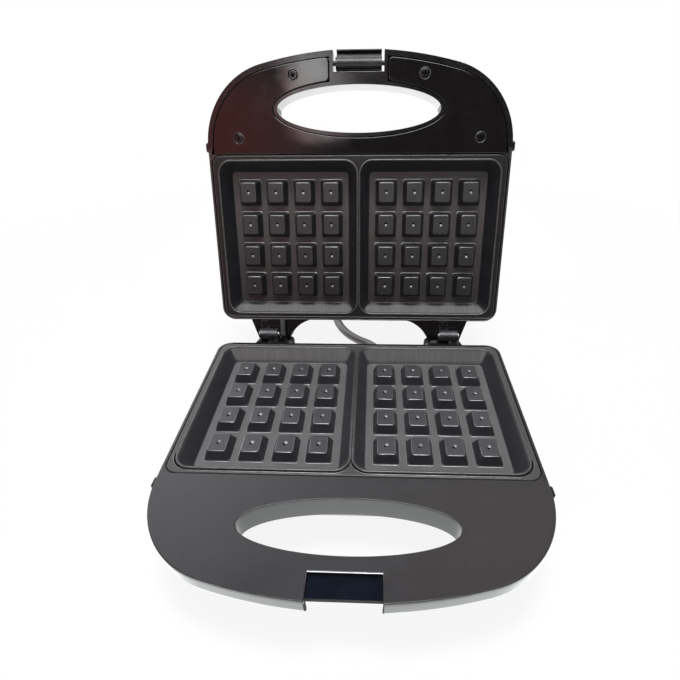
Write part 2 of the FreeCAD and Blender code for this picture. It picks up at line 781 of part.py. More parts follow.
def shield_screws():
    return [screw(x, d, tab_u - screw_head_t, tab_u + shield_screw_len) for x, d in both_sides([(tab_x, tab_d)])]


def thermostat():
    """Bimetal disc switch under the left cavity, with two blades."""
    x, d = -cavity_x, plate_mid_d
    top = under_u + thermostat_h
    body = merged(post(x, d, under_u, top, 8.0), [post(x, d, top, top + 3.7, 5.5)])
    blades = [box(x + side * blade_x - blade_t / 2, x + side * blade_x + blade_t / 2, d - 12, d - 2, top, top + 3)
              for side in (-1, 1)]
    return merged(body, blades)


def thermal_fuse():
    """Cut-out in its sleeve, clipped under the right cavity."""
    x, d = cavity_x, plate_mid_d
    sleeve = Part.makeCylinder(fuse_r, fuse_len, point(x - fuse_len / 2, d, under_u + fuse_r), X_DIR)
    return merged(sleeve, [box(x - 3, x + 3, d - 5, d + 5, under_u, under_u + 1)])


# ---- hinges ----
lid_leaf_x = [side * hinge_x - knuckle_gap / 2 - knuckle_w for side in (-1, 1)]
base_leaf_x = [side * hinge_x + knuckle_gap / 2 for side in (-1, 1)]


def leaf_screw_bores(leaf_x):
    places = [(x + knuckle_w / 2, strap_screw_d) for x in leaf_x]
    return screw_bores(places, screw_r + screw_clear, lug_u - 1, lug_u + leaf_screw_len + 0.5)


def hinge_leaves(leaf_x):
    """Flat strap under a screw, rolled into a knuckle round the hinge axis."""
    result = []
    for x in leaf_x:
        strap = box(x, x + knuckle_w, 0, strap_end_d, lug_u - strap_t, lug_u)
        knuckle = Part.makeCylinder(knuckle_r, knuckle_w, point(x, 0, 0), X_DIR)
        neck = box(x, x + knuckle_w, 0, knuckle_r, lug_u - strap_t, lug_u)
        leaf = merged(strap, [knuckle, neck])
        bore = Part.makeCylinder(hinge_pin_r + pin_clear, knuckle_w + 2, point(x - 1, 0, 0), X_DIR)
        hole = post(x + knuckle_w / 2, strap_screw_d, 0, lug_u + 1, screw_r + screw_clear)
        result.append(leaf.cut(bore).cut(hole))
    return result


def leaf_screws(leaf_x):
    head_u = lug_u - strap_t - screw_head_t
    return [screw(x + knuckle_w / 2, strap_screw_d, head_u, lug_u + leaf_screw_len) for x in leaf_x]


def hinge_pins():
    length = 2 * knuckle_w + knuckle_gap + 2 * hinge_pin_over
    result = []
    for side in (-1, 1):
        start = point(side * hinge_x - length / 2, 0, 0)
        pin = Part.makeCylinder(hinge_pin_r, length, start, X_DIR)
        result.append(pin.makeChamfer(0.4, [e for e in pin.Edges if e.Curve.TypeId == 'Part::GeomCircle']))
    return result


# ---- lead guide beside the left hinge ----
guide_start = point(-guide_x, case_rear_d - 0.1, 2.4)


def guide_passage():
    """Bore that takes the leads from the sleeve through the lug into the lid."""
    mouth, inside = point(-guide_x, *guide_mouth), point(-guide_x, *guide_inside)
    return Part.makeCylinder(guide_bore_r, (inside - mouth).Length, mouth, inside - mouth)


def lead_sleeve():
    """Sleeve that brings the leads from the lid to the hinge axis, where it turns on its round end."""
    end = point(-guide_x, 0, 0)
    body = Part.makeCylinder(guide_r, (guide_start - end).Length, end, guide_start - end)
    return merged(body, [Part.makeSphere(guide_r, end)])


def guide_pad():
    """Rest of the base's lug that the sleeve's round end turns above, with the lead hole."""
    pad = box(-guide_x - 2.6, -guide_x + 2.6, -1.5, 4, guide_r + guide_room, lug_u + 3)
    return merged(pad, [box(-guide_x - 2.6, -guide_x + 2.6, base_lug_end_d, 6, lug_u, lug_u + 4)])


# ---- latch ----
latch_pin_len = 2 * (notch_half_w + notch_cheek) - 0.6
latch_pin_start = point(-latch_pin_len / 2, latch_d, latch_rise)


def latch_clip():
    """Snap latch drawn shut: a barrel on its pin, an arm in front and a hook under the base's ledge.

    It is drawn for the lid's half, so what reaches into the base has a negative u.
    """
    left = -latch_w / 2
    arm_back = ledge_front_d + latch_arm_gap
    arm_front = arm_back + latch_arm_t
    hook_top = -(ledge_u + ledge_t + hook_gap)
    hook_end = hook_top - hook_t
    profile = [(latch_d, latch_rise - 2.2), (arm_back - 1.2, latch_rise - 2.2), (arm_back, latch_rise - 3.4),
               (arm_back, hook_top), (arm_back - hook_len, hook_top), (arm_back - hook_len, hook_top - 0.8),
               (arm_back - 0.8, hook_end), (arm_front, hook_end), (arm_front, latch_rise + 2.4),
               (latch_d, latch_rise + 2.4), (latch_d, latch_rise - 2.2)]
    outline = Part.Face(Part.makePolygon([point(left, d, u) for d, u in profile]))
    arm = outline.extrude(V(latch_w, 0, 0))
    corners = [e for e in arm.Edges if e.BoundBox.XLength > 1 and e.BoundBox.YMin < at_y(arm_front) + 0.01]
    arm = arm.makeFillet(1.0, corners)
    barrel = Part.makeCylinder(latch_barrel_r, latch_w, point(left, latch_d, latch_rise), X_DIR)
    clip = merged(barrel, [arm])
    bore = Part.makeCylinder(latch_pin_r + pin_clear, latch_w + 2, point(left - 1, latch_d, latch_rise), X_DIR)
    return clip.cut(bore)


def latch_pin():
    return Part.makeCylinder(latch_pin_r, latch_pin_len, latch_pin_start, X_DIR)


# ---- lid lamps ----

def lens(x, d):
    """Lamp window pushed into the lid's roof from inside."""
    inner = lid_depth - wall
    window = post(x, d, inner, lid_depth + lens_rise, lens_r)
    window = window.makeFillet(0.6, edges_at(window, lid_depth + lens_rise))
    return merged(window, [post(x, d, inner - 1.0, inner, lens_flange_r)])


def lamps():
    top = lid_depth - wall - 1.0
    return [merged(post(x, d, top - lamp_len, top, lamp_r), [post(x, d, top - 1.5, top, lamp_r + 0.8)])
            for x, d in lens_places]


# ---- base underside ----

def foot_recess(x, d):
    return post(x, d, base_depth - foot_sunk, base_depth + 1, foot_r + 0.1)


def rubber_feet():
    result = []
    for x, d in foot_places:
        foot = post(x, d, base_depth - foot_sunk, axis_z, foot_r)
        result.append(foot.makeFillet(1.2, edges_at(foot, axis_z)))
    return result


def vents():
    slots = []
    for index in range(vent_pairs):
        x = vent_start + index * vent_pitch
        for side in (-1, 1):
            x0 = side * x - vent_w / 2
            slots.append(box(x0, x0 + vent_w, plate_mid_d - vent_len / 2, plate_mid_d + vent_len / 2,
                             base_depth - wall - 2, base_depth + 1))
    return slots


# ---- mains cord ----
cord_exit_u = axis_z - cord_exit_z
wall_face_d = case_rear_d + lean_at(cord_exit_u, base_depth)
boot_start = point(cord_exit_x, wall_face_d - collar_out, cord_exit_u)
boot_heading = (cord_bends[0] - boot_start).normalize()
cord_route = [boot_start + boot_heading * boot_len] + cord_bends


def cord_passage():
    start = point(cord_exit_x, wall_face_d + collar_in, cord_exit_u)
    return Part.makeCylinder(collar_r + 0.1, collar_in + collar_out + 4, start, Y_DIR)


def strain_relief():
    """Collar pushed through the rear wall, a ball, and a tapered boot that ends at the cord."""
    start = point(cord_exit_x, wall_face_d + collar_in, cord_exit_u)
    collar = Part.makeCylinder(collar_r, collar_in + collar_out, start, Y_DIR)
    flange = Part.makeCylinder(collar_r + collar_flange, collar_flange_t, start, Y_DIR)
    ball = Part.makeSphere(boot_r, boot_start)
    boot = Part.makeCone(boot_r, boot_tip_r, boot_len, boot_start, boot_heading)
    return merged(collar, [flange, ball, boot])


def cord_coil():
    """Outer shape of the coil that the put-away length makes."""
    height = 2 * cord_r + coil_turns * turn_pitch
    foot = V(coil_x, coil_y, 0)
    ring = Part.makeCylinder(coil_r + cord_r, height, foot)
    ring = ring.cut(Part.makeCylinder(coil_r - cord_r, height, foot))
    return ring.makeFillet(3.0, [e for e in ring.Edges if e.BoundBox.ZLength < 0.1])


def plug_body():
    """Moulded plug lying on its flat side: a neck, then an oval body."""
    start = plug_route[-1]
    neck = Part.makeCone(cord_r + 1, 9.0, plug_neck_len, start, X_DIR)
    centre = V(start.x + plug_neck_len, start.y, plug_half_h)
    oval = Part.Ellipse(V(0, 0, 0), plug_half_w, plug_half_h).toShape()
    face = Part.Face(Part.Wire([oval]))
    face.rotate(V(0, 0, 0), V(1, 1, 1), 120)
    face.translate(centre)
    body = face.extrude(V(plug_len, 0, 0))
    body = body.makeFillet(2.5, body.Edges[:])
    return merged(body, [neck])


def plug_pins():
    x = plug_route[-1].x + plug_neck_len + plug_len
    result = []
    for side in (-1, 1):
        pin = Part.makeCylinder(plug_pin_r, plug_pin_len, V(x, plug_route[-1].y + side * plug_pin_pitch / 2,
                                                             plug_half_h), X_DIR)
        result.append(pin.makeFillet(1.2, [e for e in pin.Edges if e.BoundBox.XMin > x + plug_pin_len - 0.01]))
    return result


# ---- wiring ----

def terminal_block():
    floor = base_depth - wall
    block = box(cord_exit_x - block_half, cord_exit_x + block_half, block_d - 7, block_d + 7,
                floor - block_h, floor)
    wells = [post(cord_exit_x + x, block_d, floor - block_h - 1, floor - block_h + 4, 2.0) for x in (-5.5, 0, 5.5)]
    return block.cut(Part.makeCompound(wells))


def lead(places, radius):
    return tube([point(x, d, u) for x, d, u in places], radius, lead_bend)


def to_pin(side, x, d, u):
    """Last bends of a lead that comes to the tip of a heater pin from the middle."""
    pin_u = under_u + element_r
    tip_x = element_end_x + 0.5 - terminal_len
    turn_x = tip_x - 3.5
    return [(side * x, d, u), (side * x, element_rear_d + 10, u), (side * turn_x, element_rear_d + 10, pin_u),
            (side * turn_x, element_rear_d, pin_u), (side * tip_x, element_rear_d, pin_u)]


def base_leads():
    """Cord to block, block to fuse and thermostat, and from these to the heater's pins."""
    inner_d = wall_face_d + collar_in
    block_u = base_depth - wall - block_h / 2
    right, left = cord_exit_x + block_half, cord_exit_x - block_half
    fuse_u = under_u + fuse_r
    blade_u = under_u + thermostat_h + 1.5
    (hole_x, fuse_d), (far_x, blade_d) = lead_holes
    feed = [[(cord_exit_x + x, inner_d, cord_exit_u), (cord_exit_x + x, inner_d + 4, cord_exit_u),
             (cord_exit_x + x, block_d - 11, block_u), (cord_exit_x + x, block_d - 7, block_u)] for x in (-3, 3)]
    to_fuse = [(right, block_d, block_u), (hole_x, block_d, block_u), (hole_x, fuse_d, block_u),
               (hole_x, fuse_d, fuse_u), (cavity_x + fuse_len / 2, fuse_d, fuse_u)]
    to_blade = [(left, block_d + 4, block_u), (far_x, block_d + 4, block_u), (far_x, blade_d, block_u),
                (far_x, blade_d, blade_u), (-cavity_x - blade_x - blade_t / 2, blade_d, blade_u)]
    from_fuse = [(cavity_x - fuse_len / 2, fuse_d, fuse_u)] + to_pin(1, fuse_lead_x, fuse_d, fuse_u)
    from_blade = [(-cavity_x + blade_x + blade_t / 2, blade_d, blade_u)] + to_pin(-1, blade_lead_x, blade_d, blade_u)
    return [lead(route, lead_r) for route in feed + [to_fuse, to_blade, from_fuse, from_blade]]


def lid_leads():
    """Pair from the lug's bore, through the shield, to the pins of the lid's heater."""
    deep_u = shield_u + shield_t + 3
    near_u = under_u + element_r + 1.5
    routes = []
    for side, (hole_x, hole_lead_d) in zip((1, -1), lead_holes):
        x = side * (lid_lead_r + 0.05) - guide_x
        inside_d, inside_u = guide_inside
        routes.append([(x, 9.0, guide_mouth[1] + 1.67), (x, inside_d, inside_u), (x, inside_d, deep_u),
                       (hole_x, hole_lead_d, deep_u), (hole_x, hole_lead_d, near_u)]
                      + to_pin(side, blade_lead_x, hole_lead_d, near_u))
    return [lead(route, lid_lead_r) for route in routes]


# ---- everything in its place ----
def swing_open(shape):
    """Base-side piece mirrored into the lid, then opened about the hinge."""
    turned = shape.mirror(V(0, 0, axis_z), Z_DIR)
    turned.rotate(V(0, hinge_y, axis_z), X_DIR, -open_angle)
    return turned


def open_latch(shape):
    turned = shape.copy()
    turned.rotate(point(0, latch_d, latch_rise), X_DIR, latch_open_angle)
    return turned


def group(shapes):
    return Part.makeCompound(shapes)


plate = waffle_plate()
shield = heat_shield()
element = heating_element()
straps = group(element_straps())
screws_to_plate = group(plate_screws())
screws_to_shield = group(shield_screws())

nodes = {
    "base_shell": base_shell(),
    "base_handle_cover": base_handle_cover(),
    "base_cover_screws": group([screw(x, d, handle_u - screw_sunk, seat_u + base_screw_over) for x, d in cover_places]),
    "rubber_feet": group(rubber_feet()),
    "lower_waffle_plate": plate,
    "lower_heating_element": element,
    "lower_element_straps": straps,
    "lower_heat_shield": shield,
    "lower_plate_screws": screws_to_plate,
    "lower_shield_screws": screws_to_shield,
    "thermostat": thermostat(),
    "thermal_fuse": thermal_fuse(),
    "terminal_block": terminal_block(),
    "base_leads": group(base_leads()),
    "base_hinge_leaves": group(hinge_leaves(base_leaf_x)),
    "base_hinge_screws": group(leaf_screws(base_leaf_x)),
    "hinge_pins": group(hinge_pins()),
    "strain_relief": strain_relief(),
    "lid_shell": swing_open(lid_shell()),
    "lid_handle_cover": swing_open(lid_handle_cover()),
    "lid_cover_screws": swing_open(group([screw(x, d, face_gap + screw_sunk, seat_u + lid_screw_in) for x, d in cover_places])),
    "upper_waffle_plate": swing_open(plate),
    "upper_heating_element": swing_open(element),
    "upper_element_straps": swing_open(straps),
    "upper_heat_shield": swing_open(shield),
    "upper_plate_screws": swing_open(screws_to_plate),
    "upper_shield_screws": swing_open(screws_to_shield),
    "lid_leads": swing_open(group(lid_leads())),
    "lead_sleeve": swing_open(lead_sleeve()),
    "lid_hinge_leaves": swing_open(group(hinge_leaves(lid_leaf_x))),
    "lid_hinge_screws": swing_open(group(leaf_screws(lid_leaf_x))),
    "power_lens": swing_open(lens(*lens_places[0])),
    "ready_lens": swing_open(lens(*lens_places[1])),
    "indicator_lamps": swing_open(group(lamps())),
    "latch_clip": swing_open(open_latch(latch_clip())),
    "latch_pin": swing_open(latch_pin()),
    "power_cord": tube(cord_route, cord_r),
    "cord_coil": cord_coil(),
    "cord_tail": tube(plug_route, cord_r),
    "plug_body": plug_body(),
    "plug_pins": group(plug_pins()),
}

os.makedirs("parts", exist_ok=True)
for name, shape in nodes.items():
    shape.exportStep(f"parts/{name}.step")

for label, route in (("cord", cord_route), ("tail", plug_route)):
    wire, radii = bent_wire(route)
    expected = math.pi * cord_r ** 2 * wire.Length
    made = tube(route, cord_r).Volume
    print(label, "arc radii", [round(r, 1) for r in radii], "length", round(wire.Length, 1),
          "volume share", round(made / expected, 4))
coil_length = coil_turns * 2 * math.pi * coil_r
print("coil length", round(coil_length, 1))
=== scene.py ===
import json
import math

import bmesh
import bpy
from mathutils import Matrix, Vector


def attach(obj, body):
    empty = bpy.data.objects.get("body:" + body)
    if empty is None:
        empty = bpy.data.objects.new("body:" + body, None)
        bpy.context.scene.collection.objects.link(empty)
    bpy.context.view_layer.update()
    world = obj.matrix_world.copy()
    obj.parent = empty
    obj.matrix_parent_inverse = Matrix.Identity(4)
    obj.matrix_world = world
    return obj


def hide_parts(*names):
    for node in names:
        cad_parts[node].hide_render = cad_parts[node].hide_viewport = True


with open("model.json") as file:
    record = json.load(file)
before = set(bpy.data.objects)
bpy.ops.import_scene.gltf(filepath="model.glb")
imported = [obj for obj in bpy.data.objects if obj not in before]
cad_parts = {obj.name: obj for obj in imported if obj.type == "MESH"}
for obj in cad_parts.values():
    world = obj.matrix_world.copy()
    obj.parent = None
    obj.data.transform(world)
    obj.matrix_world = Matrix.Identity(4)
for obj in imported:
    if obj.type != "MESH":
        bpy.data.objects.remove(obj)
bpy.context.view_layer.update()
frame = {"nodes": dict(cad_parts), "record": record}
MM = 0.001

# ---- the two halves ----
joints = {joint["name"]: joint for joint in frame["record"]["behaviour"]["joints"]}
hinge = Vector(joints["lid_hinge"]["pos_m"])
lean = math.radians(joints["lid_hinge"]["range_deg"][1] - 90)
into = {"base": Vector((0, 0, -1)), "lid": Vector((0, math.cos(lean), -math.sin(lean)))}
toward_handle = {"base": Vector((0, -1, 0)), "lid": Vector((0, math.sin(lean), math.cos(lean)))}

# ---- sizes of a half: x across, d from the hinge axis to the handle, u into the half ----
ridge_w = 3.1 * MM
lip_w = 104.4 * MM
lip_len = 115.8 * MM
lip_r = 9.0 * MM
plate_mid_d = 76.25 * MM
plate_half_w, plate_half_len, plate_r = 110.3 * MM, 61.55 * MM, 6.3 * MM
case_mid_d, case_front_d = 78 * MM, 141 * MM
case_half_w, case_half_len, case_r = 112.3 * MM, 65.3 * MM, 9.3 * MM
rim_u = 0.6 * MM
wall_slope = 6.5 * MM
cavity_x = (ridge_w + lip_w) / 2
floor_half_w = lip_w / 2 - wall_slope
floor_half_len = lip_len / 2 - wall_slope
floor_u = 11.6 * MM
stud_top_u = 4.6 * MM
stud_top_w, stud_top_len = 11.6 * MM, 14.3 * MM
stud_base_w, stud_base_len = 17.0 * MM, 19.5 * MM
stud_r = 1.6 * MM
stud_pitch_x, stud_pitch_d = 21.5 * MM, 24.07 * MM
stud_count = 4


def placed(name, data):
    obj = bpy.data.objects.new(name, data)
    bpy.context.scene.collection.objects.link(obj)
    return obj


# ---- camera ----
def look(eye, pitch, yaw, roll):
    """Turns a camera that stands at eye: pitch down, yaw to the right, then roll."""
    forward = Vector((math.sin(yaw) * math.cos(pitch), math.cos(yaw) * math.cos(pitch),
                      -math.sin(pitch)))
    level = Vector((math.cos(yaw), -math.sin(yaw), 0))
    upright = level.cross(forward)
    right = level * math.cos(roll) + upright * math.sin(roll)
    up = upright * math.cos(roll) - level * math.sin(roll)
    turned = Matrix((right, up, -forward)).transposed().to_4x4()
    return Matrix.Translation(eye) @ turned


lens = bpy.data.cameras.new("lens")
lens.sensor_width = 36.0
lens.lens = 22.235
lens.shift_x = -0.0249
lens.shift_y = 0.0110
lens.clip_start, lens.clip_end = 0.01, 50
camera = placed("camera", lens)
camera.matrix_world = look(eye=Vector((0.011806, -0.226106, 0.251944)),
                           pitch=math.radians(37.896), yaw=-0.0457, roll=-0.0166)
bpy.context.scene.camera = camera
bpy.context.scene.view_settings.view_transform = "Standard"


# ---- shader maths ----
class Value:
    """A socket that Python expressions turn into Math nodes."""

    def __init__(self, finish, link):
        self.finish, self.link = finish, link

    def _maths(self, operation, a, b):
        return self.finish.node("ShaderNodeMath", {"operation": operation}, {0: a, 1: b})

    def __add__(self, other):
        return self._maths("ADD", self, other)

    def __radd__(self, other):
        return self._maths("ADD", other, self)

    def __sub__(self, other):
        return self._maths("SUBTRACT", self, other)

    def __rsub__(self, other):
        return self._maths("SUBTRACT", other, self)

    def __mul__(self, other):
        return self._maths("MULTIPLY", self, other)

    def __rmul__(self, other):
        return self._maths("MULTIPLY", other, self)

    def __neg__(self):
        return self._maths("MULTIPLY", self, -1)

    def __abs__(self):
        return self._maths("ABSOLUTE", self, 0)

    def larger(self, other):
        return self._maths("MAXIMUM", self, other)

    def over(self, low, high):
        """0 below low, 1 above high, smooth between."""
        return self.finish.node(
            "ShaderNodeMapRange", {"interpolation_type": "SMOOTHSTEP"},
            {"Value": self, "From Min": low, "From Max": high})


class Finish:
    """One material, or the world, under construction; it reads the piece's own coordinates in
    metres."""

    def __init__(self, name, block=None):
        self.block = block or bpy.data.materials.new(name)
        self.block.use_nodes = True
        self.tree = self.block.node_tree
        self.tree.nodes.clear()
        self.where = self.node("ShaderNodeTexCoord", {}, {}, "Object")

    def node(self, kind, settings, sockets, output=0):
        made = self.tree.nodes.new(kind)
        for name, value in settings.items():
            setattr(made, name, value)
        for name, value in sockets.items():
            if isinstance(value, Value):
                self.tree.links.new(value.link, made.inputs[name])
            else:
                made.inputs[name].default_value = value
        return Value(self, made.outputs[output])

    def noise(self, scale, detail=2.0, roughness=0.5, stretch=(1, 1, 1), distortion=0.0):
        place = self.node("ShaderNodeMapping", {}, {"Vector": self.where, "Scale": stretch})
        return self.node("ShaderNodeTexNoise", {},
                         {"Vector": place, "Scale": scale, "Detail": detail,
                          "Roughness": roughness, "Distortion": distortion})

    def vector(self, operation, first, second, output="Vector"):
        return self.node("ShaderNodeVectorMath", {"operation": operation},
                         {0: first, 1: second}, output)

    def scaled(self, vector, share):
        return self.node("ShaderNodeVectorMath", {"operation": "SCALE"},
                         {0: vector, "Scale": share})

    def parts(self, vector):
        return [self.node("ShaderNodeSeparateXYZ", {}, {"Vector": vector}, axis)
                for axis in "XYZ"]

    def along(self, direction):
        """How far a point lies from the hinge axis along a direction."""
        apart = self.vector("SUBTRACT", self.where, hinge)
        return self.vector("DOT_PRODUCT", apart, direction, "Value")

    def specks(self, scale, size):
        """1 inside sparse round specks, 0 elsewhere."""
        cells = {"Vector": self.where, "Scale": scale}
        near = self.node("ShaderNodeTexVoronoi", {}, cells, "Distance")
        pick = self.node("ShaderNodeTexVoronoi", {}, cells, "Color")
        chosen = self.node("ShaderNodeSeparateColor", {}, {"Color": pick}, "Red").over(0.8, 0.82)
        return (1 - near.over(size * 0.6, size)) * chosen

    def blend(self, share, first, second):
        return self.node("ShaderNodeMix", {"data_type": "RGBA"}, {0: share, 6: first, 7: second}, 2)

    def bump(self, height, depth, below=None):
        sockets = {"Height": height, "Distance": depth, "Strength": 1.0}
        if below is not None:
            sockets["Normal"] = below
        return self.node("ShaderNodeBump", {}, sockets)

    def soft_edges(self, radius):
        """Rounds corners a little, as casting leaves them."""
        return self.node("ShaderNodeBevel", {"samples": 4}, {"Radius": radius})

    def glow(self, tint, strength=1.0):
        return self.node("ShaderNodeEmission", {}, {"Color": tint, "Strength": strength})

    def surface(self, shader, output="ShaderNodeOutputMaterial"):
        out = self.tree.nodes.new(output)
        self.tree.links.new(shader.link, out.inputs["Surface"])
        return self.block

    def done(self, **sockets):
        named = {name.replace("_", " "): value for name, value in sockets.items()}
        return self.surface(self.node("ShaderNodeBsdfPrincipled", {}, named))


def colour(r, g, b):
    return (r, g, b, 1.0)


def toned(tint, share, lift=0.0):
    """The tint times a share, plus a lift."""
    return colour(*[t * share + lift for t in tint])


dust_tint = colour(0.17, 0.16, 0.15)
fleck_tint = colour(0.15, 0.145, 0.14)
# painted highlight: the lighter tint on the lid case's rim
rim_highlight_tint = colour(0.034, 0.034, 0.034)
# painted sheen: lighter streaked tints for the cavity walls at the hinge's end
painted_sheen_dark, painted_sheen_light = colour(0.1, 0.1, 0.102), colour(0.19, 0.19, 0.192)


def moulded(name, tint, sheen_low, sheen_high, wave, dusty=0.3, matt=None, ior=1.5, painted_light_mask=None):
    """Injection-moulded plastic: faint sink waves, a fine grain, wipe marks and a little dust.
    matt, where given, says how dull each place is; the second mask, where given, says where a
    lighter tint is painted on as a highlight."""
    f = Finish(name)
    waves = f.noise(24, 2, 0.4)
    wiped = f.noise(75, 4, 0.62, distortion=0.6)
    grain = f.noise(2400, 2, 0.5)
    dust = f.specks(210, 0.07)
    base = f.blend(wiped.over(0.35, 0.75), colour(*tint), toned(tint, 1.25, 0.001))
    # painted highlight: the masked places get the lighter rim tint
    if painted_light_mask:
        base = f.blend(painted_light_mask(f), base, rim_highlight_tint)
    base = f.blend(dust * dusty, base, dust_tint)
    rough = sheen_low + (sheen_high - sheen_low) * wiped.over(0.4, 0.7) + dust * 0.2
    if matt:
        rough = rough + 0.8 * matt(f)
    normal = f.bump(waves, wave)
    normal = f.bump(grain, 0.000003, normal)
    return f.done(Base_Color=base, Roughness=rough, Normal=normal, IOR=ior)


def lugs_and_hem(f):
    """The hinge lugs, the face under the latch notch and the lower hem of the bottom case."""
    x, y, z = f.parts(f.where)
    behind_case = y.over(0.0585, 0.06)
    beyond_lug, within_lug = abs(x).over(0.066, 0.068), abs(x).over(0.052, 0.053)
    lugs = behind_case * (1 - beyond_lug) * within_lug
    behind_front, beside_notch = y.over(-0.1450, -0.1443), abs(x).over(0.0186, 0.019)
    notch_face = (1 - behind_front) * (1 - beside_notch)
    above_hem = z.over(0.009, 0.0105)
    return lugs.larger(notch_face).larger(1 - above_hem)


def parting_rim(f):
    """The narrow edge of the lid's case round the upper plate, where a lighter tint is painted on
    as a highlight.
    """
    deeper = f.along(into["lid"]).over(0.001, 0.0015)
    on_handle = f.along(toward_handle["lid"]).over(0.1425, 0.1435)
    return (1 - deeper) * (1 - on_handle)


def coated_cast(name, body, floor_tint, rim_tint, stud_tint, wall_tint, tint_left_in_hinge_shade=1.0):
    """Cast aluminium under a dark non-stick coat: blasted floors and rims, smoother walls and stud
    tops. The walls at the hinge's end get a lighter streaked tint as painted sheen. The share given
    last is how much of the floor and stud-top tint is left at the hinge's end, a painted shade
    there."""
    f = Finish(name)
    deep = f.along(into[body])
    reach = f.along(toward_handle[body]) - plate_mid_d
    across = abs(abs(f.along(Vector((1, 0, 0)))) - cavity_x) - floor_half_w
    outside = across.larger(abs(reach) - floor_half_len).over(-0.0002, 0.0003)
    below_rim = deep.over(0.0009, 0.0017)
    floor = deep.over(0.0104, 0.0114) * (1 - outside)
    stud_top = (1 - deep.over(0.0047, 0.0052)) * (1 - outside)
    past_hinge_end = (-reach - floor_half_len - across.larger(0)).over(-0.0006, 0.0022)
    rear_wall = past_hinge_end * outside * below_rim
    grain = f.noise(2600, 3, 0.65)
    peel = f.noise(900, 2, 0.5)
    clouds = f.noise(45, 3, 0.55)
    drawn = f.noise(700, 2, 0.5, (1, 0.06, 0.06))
    flecks = f.specks(800, 0.13)
    mottled = clouds.over(0.3, 0.7)
    blasted = f.blend(mottled, toned(floor_tint, 0.88), colour(*floor_tint))
    rim = f.blend(mottled, toned(rim_tint, 0.88), colour(*rim_tint))
    smooth = f.blend(mottled, toned(wall_tint, 0.8), colour(*wall_tint))
    lifted = f.blend(mottled, toned(stud_tint, 0.9), colour(*stud_tint))
    # painted sheen: the walls at the hinge's end get the lighter streaked tint
    wear_and_painted_sheen = f.blend(drawn, painted_sheen_dark, painted_sheen_light)
    # painted shade: floors and stud tops darker towards the hinge's end
    by_handle = reach.over(-floor_half_len, floor_half_len * 0.8)
    kept = tint_left_in_hinge_shade + (1 - tint_left_in_hinge_shade) * by_handle
    base = f.blend(below_rim, rim, smooth)
    base = f.blend(floor, base, f.scaled(blasted, kept))
    base = f.blend(stud_top * below_rim, base, f.scaled(lifted, kept))
    base = f.blend(rear_wall, base, wear_and_painted_sheen)
    base = f.blend(flecks * 0.4, base, fleck_tint)
    rough = 0.36 + 0.06 * floor - 0.04 * outside * below_rim + clouds * 0.04 + grain * 0.05
    normal = f.bump(peel, 0.00005, f.soft_edges(0.0006))
    normal = f.bump(grain, 0.00003, normal)
    return f.done(Base_Color=base, Roughness=rough, Normal=normal, IOR=1.38)


def painted_light_edge(name, tint, metallic, rough=0.26, ior=1.5):
    """Thin lines along edges, lips and studs in a lighter tint as painted highlights; given a dark
    tint, painted shade instead.
    """
    f = Finish(name)
    painted_light_mask = f.noise(380, 3, 0.6)
    grain = f.noise(1900, 2, 0.5)
    base = f.blend(painted_light_mask.over(0.35, 0.65), toned(tint, 0.7), colour(*tint))
    return f.done(Base_Color=base, Roughness=rough + 0.08 * painted_light_mask, Metallic=metallic,
                  Normal=f.bump(grain, 0.000005), IOR=ior)


def dull_metal(name, tint, low, high, metallic=1.0, along=(1, 0.05, 1), scale=900, depth=0.00001):
    """Worked metal with marks along one direction and uneven dulling."""
    f = Finish(name)
    marks = f.noise(scale, 4, 0.6, along)
    clouds = f.noise(90, 3, 0.6)
    base = f.blend(clouds.over(0.3, 0.75), colour(*tint), toned(tint, 0.68))
    rough = low + (high - low) * marks + clouds * 0.08
    return f.done(Base_Color=base, Roughness=rough, Metallic=metallic,
                  Normal=f.bump(marks, depth))


def soft_plastic(name, tint, low, high, scale, depth, wear=(0.1, 0.1, 0.1), metallic=0.0):
    """Flexible or matt plastic with a fine grain and slightly rubbed patches."""
    f = Finish(name)
    grain = f.noise(scale, 3, 0.6)
    wear_and_painted_sheen = f.noise(130, 4, 0.6)
    worn_tint = colour(*[t + w for t, w in zip(tint, wear)])
    base = f.blend(wear_and_painted_sheen.over(0.5, 0.85) * 0.5, colour(*tint), worn_tint)
    rough = low + (high - low) * grain
    return f.done(Base_Color=base, Roughness=rough, Normal=f.bump(grain, depth),
                  Metallic=metallic)


def clear_lens(name, tint):
    """Coloured lamp window with a ribbed back seen through it."""
    f = Finish(name)
    ribs = f.node("ShaderNodeTexWave", {"wave_type": "BANDS", "bands_direction": "X"},
                  {"Vector": f.where, "Scale": 160, "Distortion": 0.2})
    base = f.blend(ribs * 0.5, colour(*tint), toned(tint, 0.35))
    return f.done(Base_Color=base, Roughness=0.08 + ribs * 0.06, Normal=f.bump(ribs, 0.00004),
                  IOR=1.49)


case_tint = (0.0065, 0.0063, 0.0068)
every_way = (1, 1, 1)

